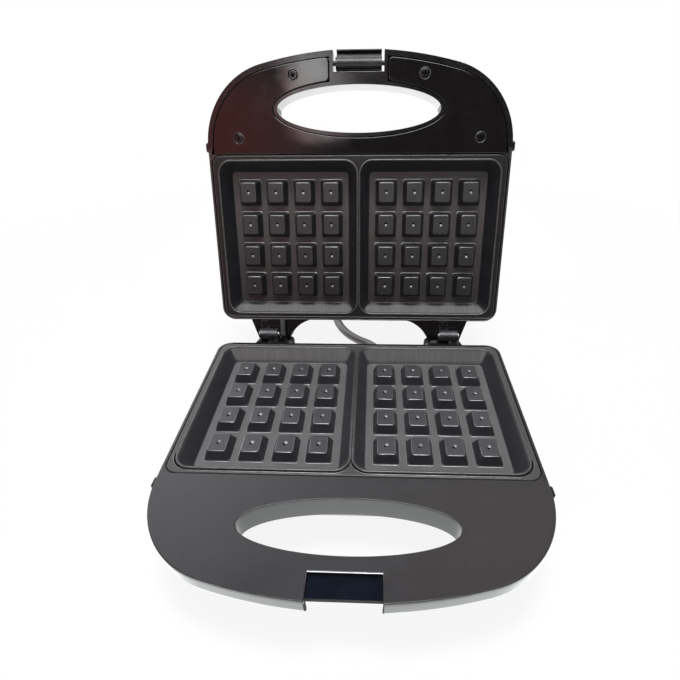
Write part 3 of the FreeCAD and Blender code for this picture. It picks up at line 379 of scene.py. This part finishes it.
finishes = {
    # the two cases, their covers and the latch
    "shell_black": moulded("polished_black_shell", case_tint, 0.09, 0.14, 0.0002),
    "base_black": moulded("polished_black_bottom", case_tint, 0.09, 0.14, 0.0002,
                          matt=lugs_and_hem),
    # the lid case's rim carries a painted highlight
    "lid_black": moulded("satin_black_lid", case_tint, 0.15, 0.2, 0.0001, painted_light_mask=parting_rim),
    "cover_black": moulded("satin_black_cover", (0.0125, 0.0125, 0.014), 0.33, 0.38, 0.0001, 0.45),
    "panel_black": moulded("polished_black_panel", (0.005, 0.0047, 0.005), 0.07, 0.11, 0.00025),
    "latch_black": moulded("satin_black_latch", (0.014, 0.014, 0.0145), 0.42, 0.5, 0.00003, 0.1),
    # painted shade: the dark blue-black sheet in the latch notch
    "notch_shade": moulded("painted_shade_ledge", (0.006, 0.0085, 0.0155), 0.16, 0.24, 0.00005, 0.1,
                           ior=1.15),
    # the plates and their edges: one coat in two copies, the base plate's tints lighter as painted
    # light and the lid plate's darker as painted shade; the edge finishes are painted highlights
    # and painted shade
    "plate_coated": coated_cast(
        "non_stick_base_plate_painted_light", "base", floor_tint=(0.12, 0.12, 0.123),
        rim_tint=(0.062, 0.0615, 0.063), stud_tint=(0.054, 0.054, 0.058),
        wall_tint=(0.036, 0.036, 0.042)),
    "plate_coat_painted_shade_lid": coated_cast(
        "non_stick_lid_plate_painted_shade", "lid", floor_tint=(0.076, 0.069, 0.068),
        rim_tint=(0.008, 0.0077, 0.0075), stud_tint=(0.042, 0.041, 0.042),
        wall_tint=(0.017, 0.017, 0.02), tint_left_in_hinge_shade=0.4),
    "painted_light_edge": painted_light_edge("painted_highlight_edge", (0.22, 0.22, 0.222), 0.8),
    "nub_highlight": painted_light_edge("painted_highlight_on_nubs", (0.38, 0.38, 0.39), 0.6, 0.3),
    "stud_edge": painted_light_edge("stud_edge_painted_highlight", (0.34, 0.34, 0.345), 0.85),
    "ring_highlight": painted_light_edge("painted_highlight_ring", (0.12, 0.12, 0.12), 0.6, 0.3),
    "lip_highlight": painted_light_edge("painted_highlight_on_lips", (0.1, 0.1, 0.1), 0.45, 0.32),
    "front_edge_highlight": painted_light_edge("painted_highlight_front_edge", (0.5, 0.505, 0.52), 0.9, 0.3),
    "painted_shade_line": painted_light_edge("painted_shade_in_groove", (0.004, 0.004, 0.0045), 0.0, 0.7, 1.12),
    # hinges, screws and the works inside
    "hinge_black": dull_metal("blackened_strap", (0.075, 0.078, 0.083), 0.34, 0.55, 0.85,
                              every_way, 1500),
    "screw_steel": dull_metal("blackened_screw", (0.007, 0.007, 0.0075), 0.12, 0.2, 0.0,
                              every_way, 1800, 0.000001),
    "pin_steel": dull_metal("drawn_pin", (0.46, 0.45, 0.44), 0.22, 0.36),
    "pin_plated": dull_metal("nickelled_brass", (0.72, 0.69, 0.62), 0.16, 0.28),
    "sheet_steel": dull_metal("aluminised_sheet", (0.58, 0.585, 0.59), 0.32, 0.5,
                              along=(0.05, 1, 1), scale=500, depth=0.00002),
    "heater_steel": dull_metal("heater_sheath", (0.24, 0.22, 0.2), 0.45, 0.6, 0.9,
                               every_way, 700, 0.00003),
    "control_white": soft_plastic("phenolic_cream", (0.62, 0.6, 0.53), 0.4, 0.55, 900, 0.00002,
                                  (-0.08, -0.09, -0.1)),
    "lead_sheath": soft_plastic("glass_braid", (0.55, 0.53, 0.47), 0.6, 0.85, 2200, 0.00008,
                                (-0.1, -0.1, -0.1)),
    "sleeve_grey": soft_plastic("silicone_sleeve", (0.035, 0.036, 0.037), 0.45, 0.6, 1300,
                                0.00002, (0.02, 0.02, 0.02)),
    # feet, cord and lamps
    "foot_rubber": soft_plastic("foot_rubber", (0.016, 0.016, 0.016), 0.7, 0.9, 1500, 0.00006,
                                (0.02, 0.02, 0.018)),
    "cord_black": soft_plastic("cord_sheath", (0.2, 0.19, 0.18), 0.2, 0.3, 1600, 0.00001,
                               (0.04, 0.04, 0.037), 0.1),
    "lens_red": clear_lens("red_window", (0.5, 0.02, 0.012)),
    "lens_green": clear_lens("green_window", (0.02, 0.36, 0.06)),
    "lamp_glass": soft_plastic("neon_glass", (0.62, 0.5, 0.4), 0.08, 0.14, 500, 0.00001,
                               (0.1, 0.05, 0)),
}


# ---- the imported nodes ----
def even_shading(obj, split=48):
    """Welds a piece's triangles and shades its rounds smooth while its corners stay crisp."""
    for face in obj.data.polygons:
        face.use_smooth = True
    if obj.data.has_custom_normals:
        obj.data.attributes.remove(obj.data.attributes["custom_normal"])
    weld = obj.modifiers.new("weld", "WELD")
    weld.merge_threshold = 0.000004
    corner = obj.modifiers.new("corners", "EDGE_SPLIT")
    corner.split_angle = math.radians(split)
    weight = obj.modifiers.new("flats", "WEIGHTED_NORMAL")
    weight.mode = "FACE_AREA_WITH_ANGLE"
    weight.weight = 80


def dress(obj, finish):
    obj.data.materials.clear()
    obj.data.materials.append(finishes[finish])


slot_of = {part["node"]: part["material_slot"] for part in frame["record"]["subparts"]}
own_finish = {"base_shell": "base_black", "lid_shell": "lid_black",
              "lid_handle_cover": "panel_black", "upper_waffle_plate": "plate_coat_painted_shade_lid",
              "latch_pin": "latch_black", "latch_clip": "latch_black"}
for name, obj in frame["nodes"].items():
    dress(obj, own_finish.get(name, slot_of[name]))
    even_shading(obj)


# ---- ways to make new pieces ----
def finished(name, mesh, body, finish, replaced=(), smooth=True):
    """Turns a bmesh into a piece that rides on a body."""
    data = bpy.data.meshes.new(name)
    mesh.to_mesh(data)
    mesh.free()
    obj = placed(name, data)
    for face in data.polygons:
        face.use_smooth = smooth
    dress(obj, finish)
    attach(obj, body)
    if replaced:
        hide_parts(*replaced)
    return obj


def plate_point(body, x, d, u):
    """A place on one half: across, from the hinge axis to the handle, and into the half."""
    return hinge + Vector((x, 0, 0)) + toward_handle[body] * d + into[body] * u


def beading(name, body, lines, radius, finish, rounds=2):
    """Round bead along each line; a line is its places on the half and whether it closes."""
    curve = bpy.data.curves.new(name, "CURVE")
    curve.dimensions = "3D"
    curve.bevel_depth = radius
    curve.bevel_resolution = rounds
    curve.use_fill_caps = True
    for places, closed in lines:
        spline = curve.splines.new("POLY")
        spline.points.add(len(places) - 1)
        spline.use_cyclic_u = closed
        for point, place in zip(spline.points, places):
            point.co = (*plate_point(body, *place), 1)
    obj = placed(name, curve)
    curve.materials.append(finishes[finish])
    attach(obj, body)


def ring_line(x, d, half_w, half_len, radius, steps):
    """Places round a rectangle with rounded corners, the two corners by the handle first."""
    places = []
    for corner, (sx, sd) in enumerate([(1, 1), (-1, 1), (-1, -1), (1, -1)]):
        for step in range(steps + 1):
            angle = math.radians(90 * (corner + step / steps))
            places.append((x + sx * (half_w - radius) + radius * math.cos(angle),
                           d + sd * (half_len - radius) + radius * math.sin(angle)))
    return places


def handle_side(ring):
    return ring[:len(ring) // 2]


def hinge_side(ring):
    return ring[len(ring) // 2:]


def circle(x, d, u, radius, steps=28):
    turns = [math.tau * i / steps for i in range(steps)]
    return [(x + radius * math.cos(a), d + radius * math.sin(a), u) for a in turns], True


def turned(profile, steps):
    """A mesh spun from its profile of radius and height; the caller removes it after use."""
    lathe = bmesh.new()
    ends = [lathe.verts.new((r, 0, z)) for r, z in profile]
    for first, second in zip(ends, ends[1:]):
        lathe.edges.new((first, second))
    bmesh.ops.spin(lathe, geom=lathe.verts[:] + lathe.edges[:], cent=(0, 0, 0), axis=(0, 0, 1),
                   angle=math.tau, steps=steps, use_merge=True)
    bmesh.ops.remove_doubles(lathe, verts=lathe.verts, dist=0.000002)
    pattern = bpy.data.meshes.new("turned")
    lathe.to_mesh(pattern)
    lathe.free()
    return pattern


def repeated(pattern, matrices):
    """One mesh with the pattern at each place; the pattern is used up."""
    many = bmesh.new()
    for matrix in matrices:
        before = len(many.verts)
        many.from_mesh(pattern)
        many.verts.ensure_lookup_table()
        bmesh.ops.transform(many, matrix=matrix, verts=many.verts[before:])
    bmesh.ops.recalc_face_normals(many, faces=many.faces)
    bpy.data.meshes.remove(pattern)
    return many


def add_slab(mesh, outline, push):
    """Adds a flat outline to a mesh and extrudes it along a vector."""
    face = mesh.faces.new([mesh.verts.new(place) for place in outline])
    grown = bmesh.ops.extrude_face_region(mesh, geom=[face])["geom"]
    moved = [item for item in grown if isinstance(item, bmesh.types.BMVert)]
    bmesh.ops.translate(mesh, vec=push, verts=moved)


# ---- lips round the cavities and edges of the plates, beads in painted highlight and painted shade tints ----
def lip_lines(out, u, front_only=False):
    """Lines round both cavities, this far outside their edges; front_only keeps the side by
    the handle."""
    lines = []
    for side in (-1, 1):
        places = ring_line(side * cavity_x, plate_mid_d, lip_w / 2 + out, lip_len / 2 + out,
                           lip_r + out, 12)
        places = handle_side(places) if front_only else places
        lines.append(([(x, d, u) for x, d in places], not front_only))
    return lines


beading("base_lip_beads", "base", lip_lines(0.8 * MM, rim_u + 0.1 * MM), 0.75 * MM, "lip_highlight", 4)
# painted shade: a dark bead just outside the lips by the handle, standing in for the shade of a
# groove
beading("base_lip_painted_shade", "base", lip_lines(2.05 * MM, rim_u + 0.62 * MM, True), 0.8 * MM,
        "painted_shade_line", 4)
beading("base_lip_outlines", "base", lip_lines(2.75 * MM, rim_u + 0.12 * MM, True), 0.28 * MM,
        "painted_light_edge")
beading("lid_lip_beads", "lid", lip_lines(0.75 * MM, rim_u + 0.25 * MM), 0.7 * MM, "lip_highlight", 4)

plate_ring = ring_line(0, plate_mid_d, plate_half_w, plate_half_len, plate_r, 10)
plate_edge = [([(x, d, rim_u + 0.12 * MM) for x, d in plate_ring], True)]
beading("base_plate_edge", "base", plate_edge, 0.26 * MM, "ring_highlight")
beading("lid_plate_edge", "lid", plate_edge, 0.26 * MM, "ring_highlight")

case_rear = hinge_side(ring_line(0, case_mid_d, case_half_w, case_half_len, case_r, 10))
case_edge = [(-case_half_w, case_front_d)] + case_rear + [(case_half_w, case_front_d)]
beading("lid_case_edge", "lid", [([(x, d, 0.8 * MM) for x, d in case_edge], False)], 0.28 * MM,
        "ring_highlight")


# ---- edges, nubs and dimples of the studs: lines and nubs in painted highlight tints, dark patches as painted shadows ----
def stud_places():
    middle = (stud_count - 1) / 2
    return [(side * cavity_x + (column - middle) * stud_pitch_x,
             plate_mid_d + (row - middle) * stud_pitch_d)
            for side in (-1, 1) for column in range(stud_count) for row in range(stud_count)]


def stud_edge_lines(upper_only=False):
    """Round the top and the foot of each stud, and down its corners; upper_only keeps the side
    by the handle."""
    lines = []
    drop = stud_r * (1 - math.sqrt(0.5))
    corners = [(1, 1), (-1, 1)] if upper_only else [(1, 1), (-1, 1), (-1, -1), (1, -1)]
    for x, d in stud_places():
        top = ring_line(x, d, stud_top_w / 2 - 0.3 * MM, stud_top_len / 2 - 0.3 * MM,
                        stud_r - 0.3 * MM, 3)
        foot = ring_line(x, d, stud_base_w / 2 + 0.12 * MM, stud_base_len / 2 + 0.12 * MM,
                         stud_r + 0.12 * MM, 3)
        for ring, u in ((top, stud_top_u + 0.24 * MM), (foot, floor_u + 0.06 * MM)):
            kept = handle_side(ring) if upper_only else ring
            lines.append(([(px, pd, u) for px, pd in kept], not upper_only))
        ends = [(stud_top_w / 2 - drop - 0.2 * MM, stud_top_len / 2 - drop - 0.2 * MM,
                 stud_top_u + 0.5 * MM),
                (stud_base_w / 2 - drop - 0.12 * MM, stud_base_len / 2 - drop - 0.12 * MM,
                 floor_u)]
        for sx, sd in corners:
            lines.append(([(x + sx * w, d + sd * length, u) for w, length, u in ends], False))
    return lines


def stud_nubs(name, body, finish, reach, rise, shift_x, shift_d):
    """A low round nub on the top of each stud, shifted across and towards the handle; a bright one
    is a painted highlight, a dark one a painted shadow of the dimple.
    """
    sunk = -0.3 * MM
    dome = [math.radians(a) for a in (0, 22, 45, 68, 90)]
    profile = [(reach * math.sin(a), rise * math.cos(a)) for a in dome]
    profile += [(reach, sunk), (0, sunk)]
    stand = (-into[body]).to_track_quat("Z", "X").to_matrix().to_4x4()
    places = [plate_point(body, x + shift_x, d + shift_d, stud_top_u) for x, d in stud_places()]
    many = repeated(turned(profile, 14), [Matrix.Translation(place) @ stand for place in places])
    finished(name, many, body, finish)


beading("base_stud_edges", "base", stud_edge_lines(), 0.27 * MM, "stud_edge", 1)
beading("lid_stud_edges", "lid", stud_edge_lines(), 0.25 * MM, "ring_highlight", 1)
beading("lid_stud_upper_edges", "lid", stud_edge_lines(True), 0.3 * MM, "stud_edge", 1)
stud_nubs("base_stud_nubs", "base", "nub_highlight", 1.15 * MM, 0.5 * MM, 0.4 * MM, -0.55 * MM)
# painted shadows: dark low domes beside the nubs where the dimples' shade falls
stud_nubs("base_stud_painted_shadows", "base", "painted_shade_line", 1.0 * MM, 0.05 * MM, -0.4 * MM, 0.6 * MM)
stud_nubs("lid_stud_nubs", "lid", "nub_highlight", 0.95 * MM, 0.4 * MM, 0.1 * MM, -0.55 * MM)
stud_nubs("lid_stud_painted_shadows", "lid", "painted_shade_line", 1.0 * MM, 0.05 * MM, -0.1 * MM, 0.9 * MM)

# ---- rings and cross slots of the lid's screws as painted highlight and painted shade, rings of its lamp windows ----
screw_places = [(side * x * MM, d * MM) for x, d in ((47.0, 190.9), (89.1, 149.9))
                for side in (-1, 1)]
screw_turns = (35, 80, 8, 55)
slot_reach = 1.9 * MM
beading("lid_recess_rings", "lid", [circle(x, d, 0.42 * MM, 3.75 * MM) for x, d in screw_places],
        0.26 * MM, "ring_highlight")
cross_slots = []
for (x, d), turn in zip(screw_places, screw_turns):
    for angle in (math.radians(turn), math.radians(turn + 90)):
        across, onward = slot_reach * math.cos(angle), slot_reach * math.sin(angle)
        cross_slots.append(([(x - across, d - onward, 0.62 * MM),
                             (x + across, d + onward, 0.62 * MM)], False))
# painted shade: the cross slots drawn as dark beads
beading("lid_screw_slots", "lid", cross_slots, 0.42 * MM, "painted_shade_line", 3)
beading("lamp_bezels", "lid", [circle(side * 9 * MM, 130 * MM, 36 * MM, 4.85 * MM)
                               for side in (-1, 1)], 0.45 * MM, "shell_black")


# ---- the latch's bridge and notch: painted highlight lines on their edges, a dark sheet as painted shade ----
def across_notch(d, u):
    """A straight line from side to side of the notch."""
    return [([(x, d, u) for x in (-18.2 * MM, 0, 18.2 * MM)], False)]


beading("lid_bridge_edge", "lid", across_notch(192.3 * MM, 0.72 * MM), 0.3 * MM, "ring_highlight")
beading("base_notch_edge", "base", across_notch(192.55 * MM, 0.68 * MM), 0.33 * MM, "front_edge_highlight")


def notch_shade_sheet():
    """A dark bent sheet laid in the latch notch as painted shade: up its rear wall and out over its
    ledge.
    """
    half_w = 18.3 * MM
    wall_front, wall_back, ledge_front = -133.95, -133.82, -144.6
    ledge_low, ledge_high, wall_top = 40.01, 40.14, 43.0
    bend = [(wall_front, wall_top), (wall_front, ledge_high), (ledge_front, ledge_high),
            (ledge_front, ledge_low), (wall_back, ledge_low), (wall_back, wall_top)]
    sheet = bmesh.new()
    add_slab(sheet, [(-half_w, y * MM, z * MM) for y, z in bend], (2 * half_w, 0, 0))
    bmesh.ops.bevel(sheet, geom=sheet.edges[:], offset=0.04 * MM, offset_type="OFFSET",
                    segments=1, profile=0.5, affect="EDGES", material=-1)
    bmesh.ops.recalc_face_normals(sheet, faces=sheet.faces)
    finished("base_notch_painted_shade", sheet, "base", "notch_shade", smooth=False)


def corner_webs(name, body, finish):
    """The case's own corners beside the rounded corners of a plate, next to the handle."""
    outer_x, front_d, rear_d = 110.45, 138.92, 134.82
    round_x, round_d, round_r = 104, 131.49, 7.4
    top_u, thick = 0.9 * MM, 2.1 * MM
    outline = [(outer_x, front_d), (outer_x, rear_d)]
    outline += [(round_x + round_r * math.cos(math.radians(a)),
                 round_d + round_r * math.sin(math.radians(a))) for a in (32, 40, 48, 56, 64, 72)]
    outline += [(round_x + round_r * math.cos(math.radians(76)), front_d)]
    webs = bmesh.new()
    for side in (-1, 1):
        add_slab(webs, [plate_point(body, side * x * MM, d * MM, top_u) for x, d in outline],
                 into[body] * thick)
    bmesh.ops.recalc_face_normals(webs, faces=webs.faces)
    finished(name, webs, body, finish, smooth=False)


notch_shade_sheet()
corner_webs("base_corner_webs", "base", "cover_black")
corner_webs("lid_corner_webs", "lid", "lid_black")

# ---- mains cord: where it leaves the boot, its run under the lid, its coil and its tail ----
cord_r = 0.004
boot_len = 0.036
boot_start = Vector((37.4, 44.401, 17.5)) * MM
run_points = [(11.5, 91, 8.2), (-2, 102, 5.6), (-13.5, 114.5, 4.3), (-21.5, 128, 4.05),
              (-26.5, 143, 4.05), (-29.4, 160, 4.05), (-30, 178, 4.05)]
tail_points = [(36, 246, 21.5), (51, 246, 18), (66, 246, 14), (81, 246, 14)]
boot_heading = (Vector(run_points[0]) * MM - boot_start).normalized()
boot_tip = boot_start + boot_heading * boot_len
plug_start = Vector(tail_points[-1]) * MM
coil_x, coil_y = 16.0, 200.0
coil_r = 46.0
coil_turns = 2.25
turn_pitch = 8.3
lying_z = 4.05
points_per_turn = 16


def coil_points():
    """The put-away length: turns lying on each other, as control points just outside them."""
    reach = coil_r / math.cos(math.pi / points_per_turn)
    made = []
    for index in range(round(coil_turns * points_per_turn)):
        turn = (index + 0.5) / points_per_turn
        angle = math.pi - 2 * math.pi * turn
        made.append((coil_x + reach * math.cos(angle), coil_y + reach * math.sin(angle),
                     lying_z + turn_pitch * turn))
    return made


def make_cord():
    route = [boot_tip] + [Vector(p) * MM for p in run_points + coil_points() + tail_points]
    curve = bpy.data.curves.new("mains_cord", "CURVE")
    curve.dimensions = "3D"
    curve.bevel_depth = cord_r
    curve.bevel_resolution = 7
    curve.resolution_u = 14
    curve.use_fill_caps = True
    spline = curve.splines.new("NURBS")
    spline.points.add(len(route) - 1)
    for point, place in zip(spline.points, route):
        point.co = (*place, 1)
    spline.order_u = 3
    spline.use_endpoint_u = True
    obj = placed("mains_cord", curve)
    curve.materials.append(finishes["cord_black"])
    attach(obj, "base")
    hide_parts("power_cord", "cord_coil", "cord_tail")
    return obj


def rings_on(name, start, heading, stations, tube):
    """Moulded rings round a tapered sleeve; each station is its distance from start and its
    radius."""
    level = heading.cross(Vector((0, 0, 1))).normalized()
    upright = level.cross(heading)
    lines = []
    for distance, radius in stations:
        places = []
        for step in range(24):
            angle = math.tau * step / 24
            out = (level * math.cos(angle) + upright * math.sin(angle)) * radius
            place = start + heading * distance + out
            places.append((place.x, hinge.y - place.y, hinge.z - place.z))
        lines.append((places, True))
    beading(name, "base", lines, tube, "cord_black")


def boot_r_at(step):
    return 6.0 - 1.3 * step / 36


def plug_r_at(step):
    return 5.0 + 4.0 * step / 14


rings_on("boot_rings", boot_start, boot_heading,
         [(step * MM, boot_r_at(step) * MM) for step in (6, 10, 14, 18, 22, 26, 30)], 0.55 * MM)
rings_on("plug_rings", plug_start, Vector((1, 0, 0)),
         [(step * MM, plug_r_at(step) * MM) for step in (2.5, 5.5, 8.5)], 0.6 * MM)


# ---- feet ----
def foot_pads():
    """Rubber feet with a bearing ring, a groove inside it and a sunk middle."""
    front_x, front_y, rear_x, rear_y = 88.0, -69.375, 72.5, 62.625
    profile = [(0, 0.9), (2.6, 0.9), (3.2, 0.3), (3.5, 1.2), (4.3, 1.2), (4.6, 0.0), (5.8, 0.0),
               (6.55, 0.35), (7.0, 1.3), (7.0, 7.2), (0, 7.2)]
    places = [Vector((side * x, y, 0)) * MM for x, y in ((front_x, front_y), (rear_x, rear_y))
              for side in (-1, 1)]
    pads = repeated(turned([(r * MM, z * MM) for r, z in profile], 36),
                    [Matrix.Translation(place) for place in places])
    even_shading(finished("foot_pads", pads, "base", "foot_rubber",
                          ["rubber_feet"]), 35)


foot_pads()
cord = make_cord()


# ---- stage ----
def floor_paper(name):
    """Pale table top that fades into plain white away from the object."""
    f = Finish(name)
    base = f.blend(f.noise(5, 2, 0.5), colour(0.93, 0.915, 0.895), colour(0.91, 0.895, 0.875))
    paper = f.node("ShaderNodeBsdfPrincipled", {}, {"Base Color": base, "Roughness": 0.8})
    white = f.glow(colour(1, 1, 1))
    distance = f.node("ShaderNodeVectorMath", {"operation": "LENGTH"}, {0: f.where}, "Value")
    whiteness = 0.88 + 0.12 * distance.over(0.36, 0.75)
    return f.surface(f.node("ShaderNodeMixShader", {}, {0: whiteness, 1: paper, 2: white}))


def glowing_card(name, tint, strength, half_w, half_len, middle):
    """Bright in the middle, sinking to the floor's own level at its edges."""
    floor_level = 0.93
    f = Finish(name)
    x, y = f.parts(f.where)[:2]
    beside = abs(x).over(half_w * 0.75, half_w)
    beyond = abs(y - middle).over(half_len * 0.6, half_len)
    full = (1 - beside) * (1 - beyond)
    shade = f.blend(f.noise(2), toned(tint, 0.97), colour(*tint))
    shade = f.blend(full, colour(*[floor_level / strength] * 3), shade)
    return f.surface(f.glow(shade, strength))


def dim_room(name):
    """What gloss sees round the object: a bright wall behind and above, a dark room elsewhere.
    Each patch is a range of directions, as the parts of a unit vector."""
    dark, wall_peak, wall_fall = 0.12, 2.3, 1.45
    warm_level, curtain_level, window_level, skylight_level = 1.1, 0.85, 6.6, 20.0
    f = Finish(name)
    x, y, z = f.parts(f.node("ShaderNodeVectorMath", {"operation": "NORMALIZE"}, {0: f.where}))
    left, front = -x, -y
    wall = (y.over(0.10, 0.42) * (1 - z.over(0.86, 0.94)) * z.over(-0.1, 0.25)
            * (wall_peak - wall_fall * x.over(-0.42, 0.3)))
    curtain = (left.over(0.04, 0.3) * front.over(0.4, 0.65)
               * z.over(0.1, 0.35) * (1 - z.over(0.56, 0.68)))
    window = (left.over(0.07, 0.09) * (1 - left.over(0.15, 0.20)) * front.over(0.4, 0.5)
              * z.over(0.52, 0.57) * (1 - z.over(0.66, 0.7)))
    skylight = front.over(0.1, 0.2) * (1 - abs(x).over(0.2, 0.45)) * z.over(0.8, 0.86)
    warm = x.over(-0.02, 0.3) * y.over(0.12, 0.3) * z.over(0.8, 0.88)
    tint = f.blend(wall.over(0, 0.4), colour(1.0, 0.78, 0.82), colour(0.97, 0.97, 1.0))
    tint = f.blend(warm, tint, colour(1.0, 0.6, 0.55))
    tint = f.blend(window.larger(skylight), tint, colour(0.95, 1.0, 1.0))
    tint = f.blend(curtain, tint, colour(1.0, 0.28, 0.26))
    strength = (dark + wall + warm_level * warm + curtain_level * curtain
                + window_level * window + skylight_level * skylight)
    return f.surface(f.glow(f.scaled(tint, strength)))


def staged(name, mesh, material, only_gloss=False):
    """A thing of the studio; what only gloss sees gives no light and casts no shadow."""
    data = bpy.data.meshes.new(name)
    mesh.to_mesh(data)
    mesh.free()
    obj = placed(name, data)
    data.materials.append(material)
    if only_gloss:
        obj.visible_camera = obj.visible_diffuse = obj.visible_shadow = False
        obj.visible_transmission = obj.visible_volume_scatter = False


def card(width, length, middle):
    mesh = bmesh.new()
    bmesh.ops.create_grid(mesh, x_segments=1, y_segments=1, size=0.5)
    bmesh.ops.scale(mesh, vec=(width, length, 1), verts=mesh.verts)
    bmesh.ops.translate(mesh, vec=middle, verts=mesh.verts)
    return mesh


def bounce(name, tint, strength, width, length, middle):
    """A bright card lying just above the floor, its middle on the object's centre line."""
    glowing = glowing_card(name, tint, strength, width / 2, length / 2, middle)
    staged(name, card(width, length, (0, middle, 0.0006)), glowing, True)


staged("floor", card(14, 14, (0, 0, -0.0002)), floor_paper("floor_paper"))
bounce("front_bounce", (0.97, 1.0, 1.0), 2.15, 0.46, 0.4, -0.23)
bounce("rear_bounce", (1.0, 1.0, 1.0), 3.4, 0.6, 0.48, 0.47)
room = bmesh.new()
bmesh.ops.create_uvsphere(room, u_segments=48, v_segments=24, radius=6.0)
bmesh.ops.reverse_faces(room, faces=room.faces)
staged("dim_room", room, dim_room("dim_room"), True)


def softbox(name, place, aim, size, power):
    """A rectangular lamp that lights the object but isn't mirrored in it."""
    data = bpy.data.lights.new(name, "AREA")
    data.shape = "RECTANGLE"
    data.size, data.size_y = size
    data.energy = power
    obj = placed(name, data)
    obj.location = place
    obj.rotation_mode = "QUATERNION"
    obj.rotation_quaternion = (Vector(aim) - Vector(place)).to_track_quat("-Z", "Y")
    obj.visible_glossy = False


softbox("ceiling_softbox", (0.0, 0.06, 1.3), (0, 0.02, 0), (0.36, 0.26), 13)
softbox("front_softbox", (-0.4, -1.3, 1.2), (0, 0, 0.05), (0.9, 0.6), 1.5)


def surroundings():
    """White to the camera and in reflections, a plain soft level as light."""
    world = bpy.data.worlds.new("studio")
    bpy.context.scene.world = world
    f = Finish("studio", world)
    straight, mirrored, clear = [f.node("ShaderNodeLightPath", {}, {}, output) for output in
                                 ("Is Camera Ray", "Is Glossy Ray", "Is Transmission Ray")]
    level = f.node("ShaderNodeMapRange", {}, {"Value": straight.larger(mirrored).larger(clear),
                                              "To Min": 0.3, "To Max": 1.0})
    white = f.node("ShaderNodeBackground", {}, {"Color": colour(1, 1, 1), "Strength": level})
    f.surface(white, "ShaderNodeOutputWorld")


surroundings()
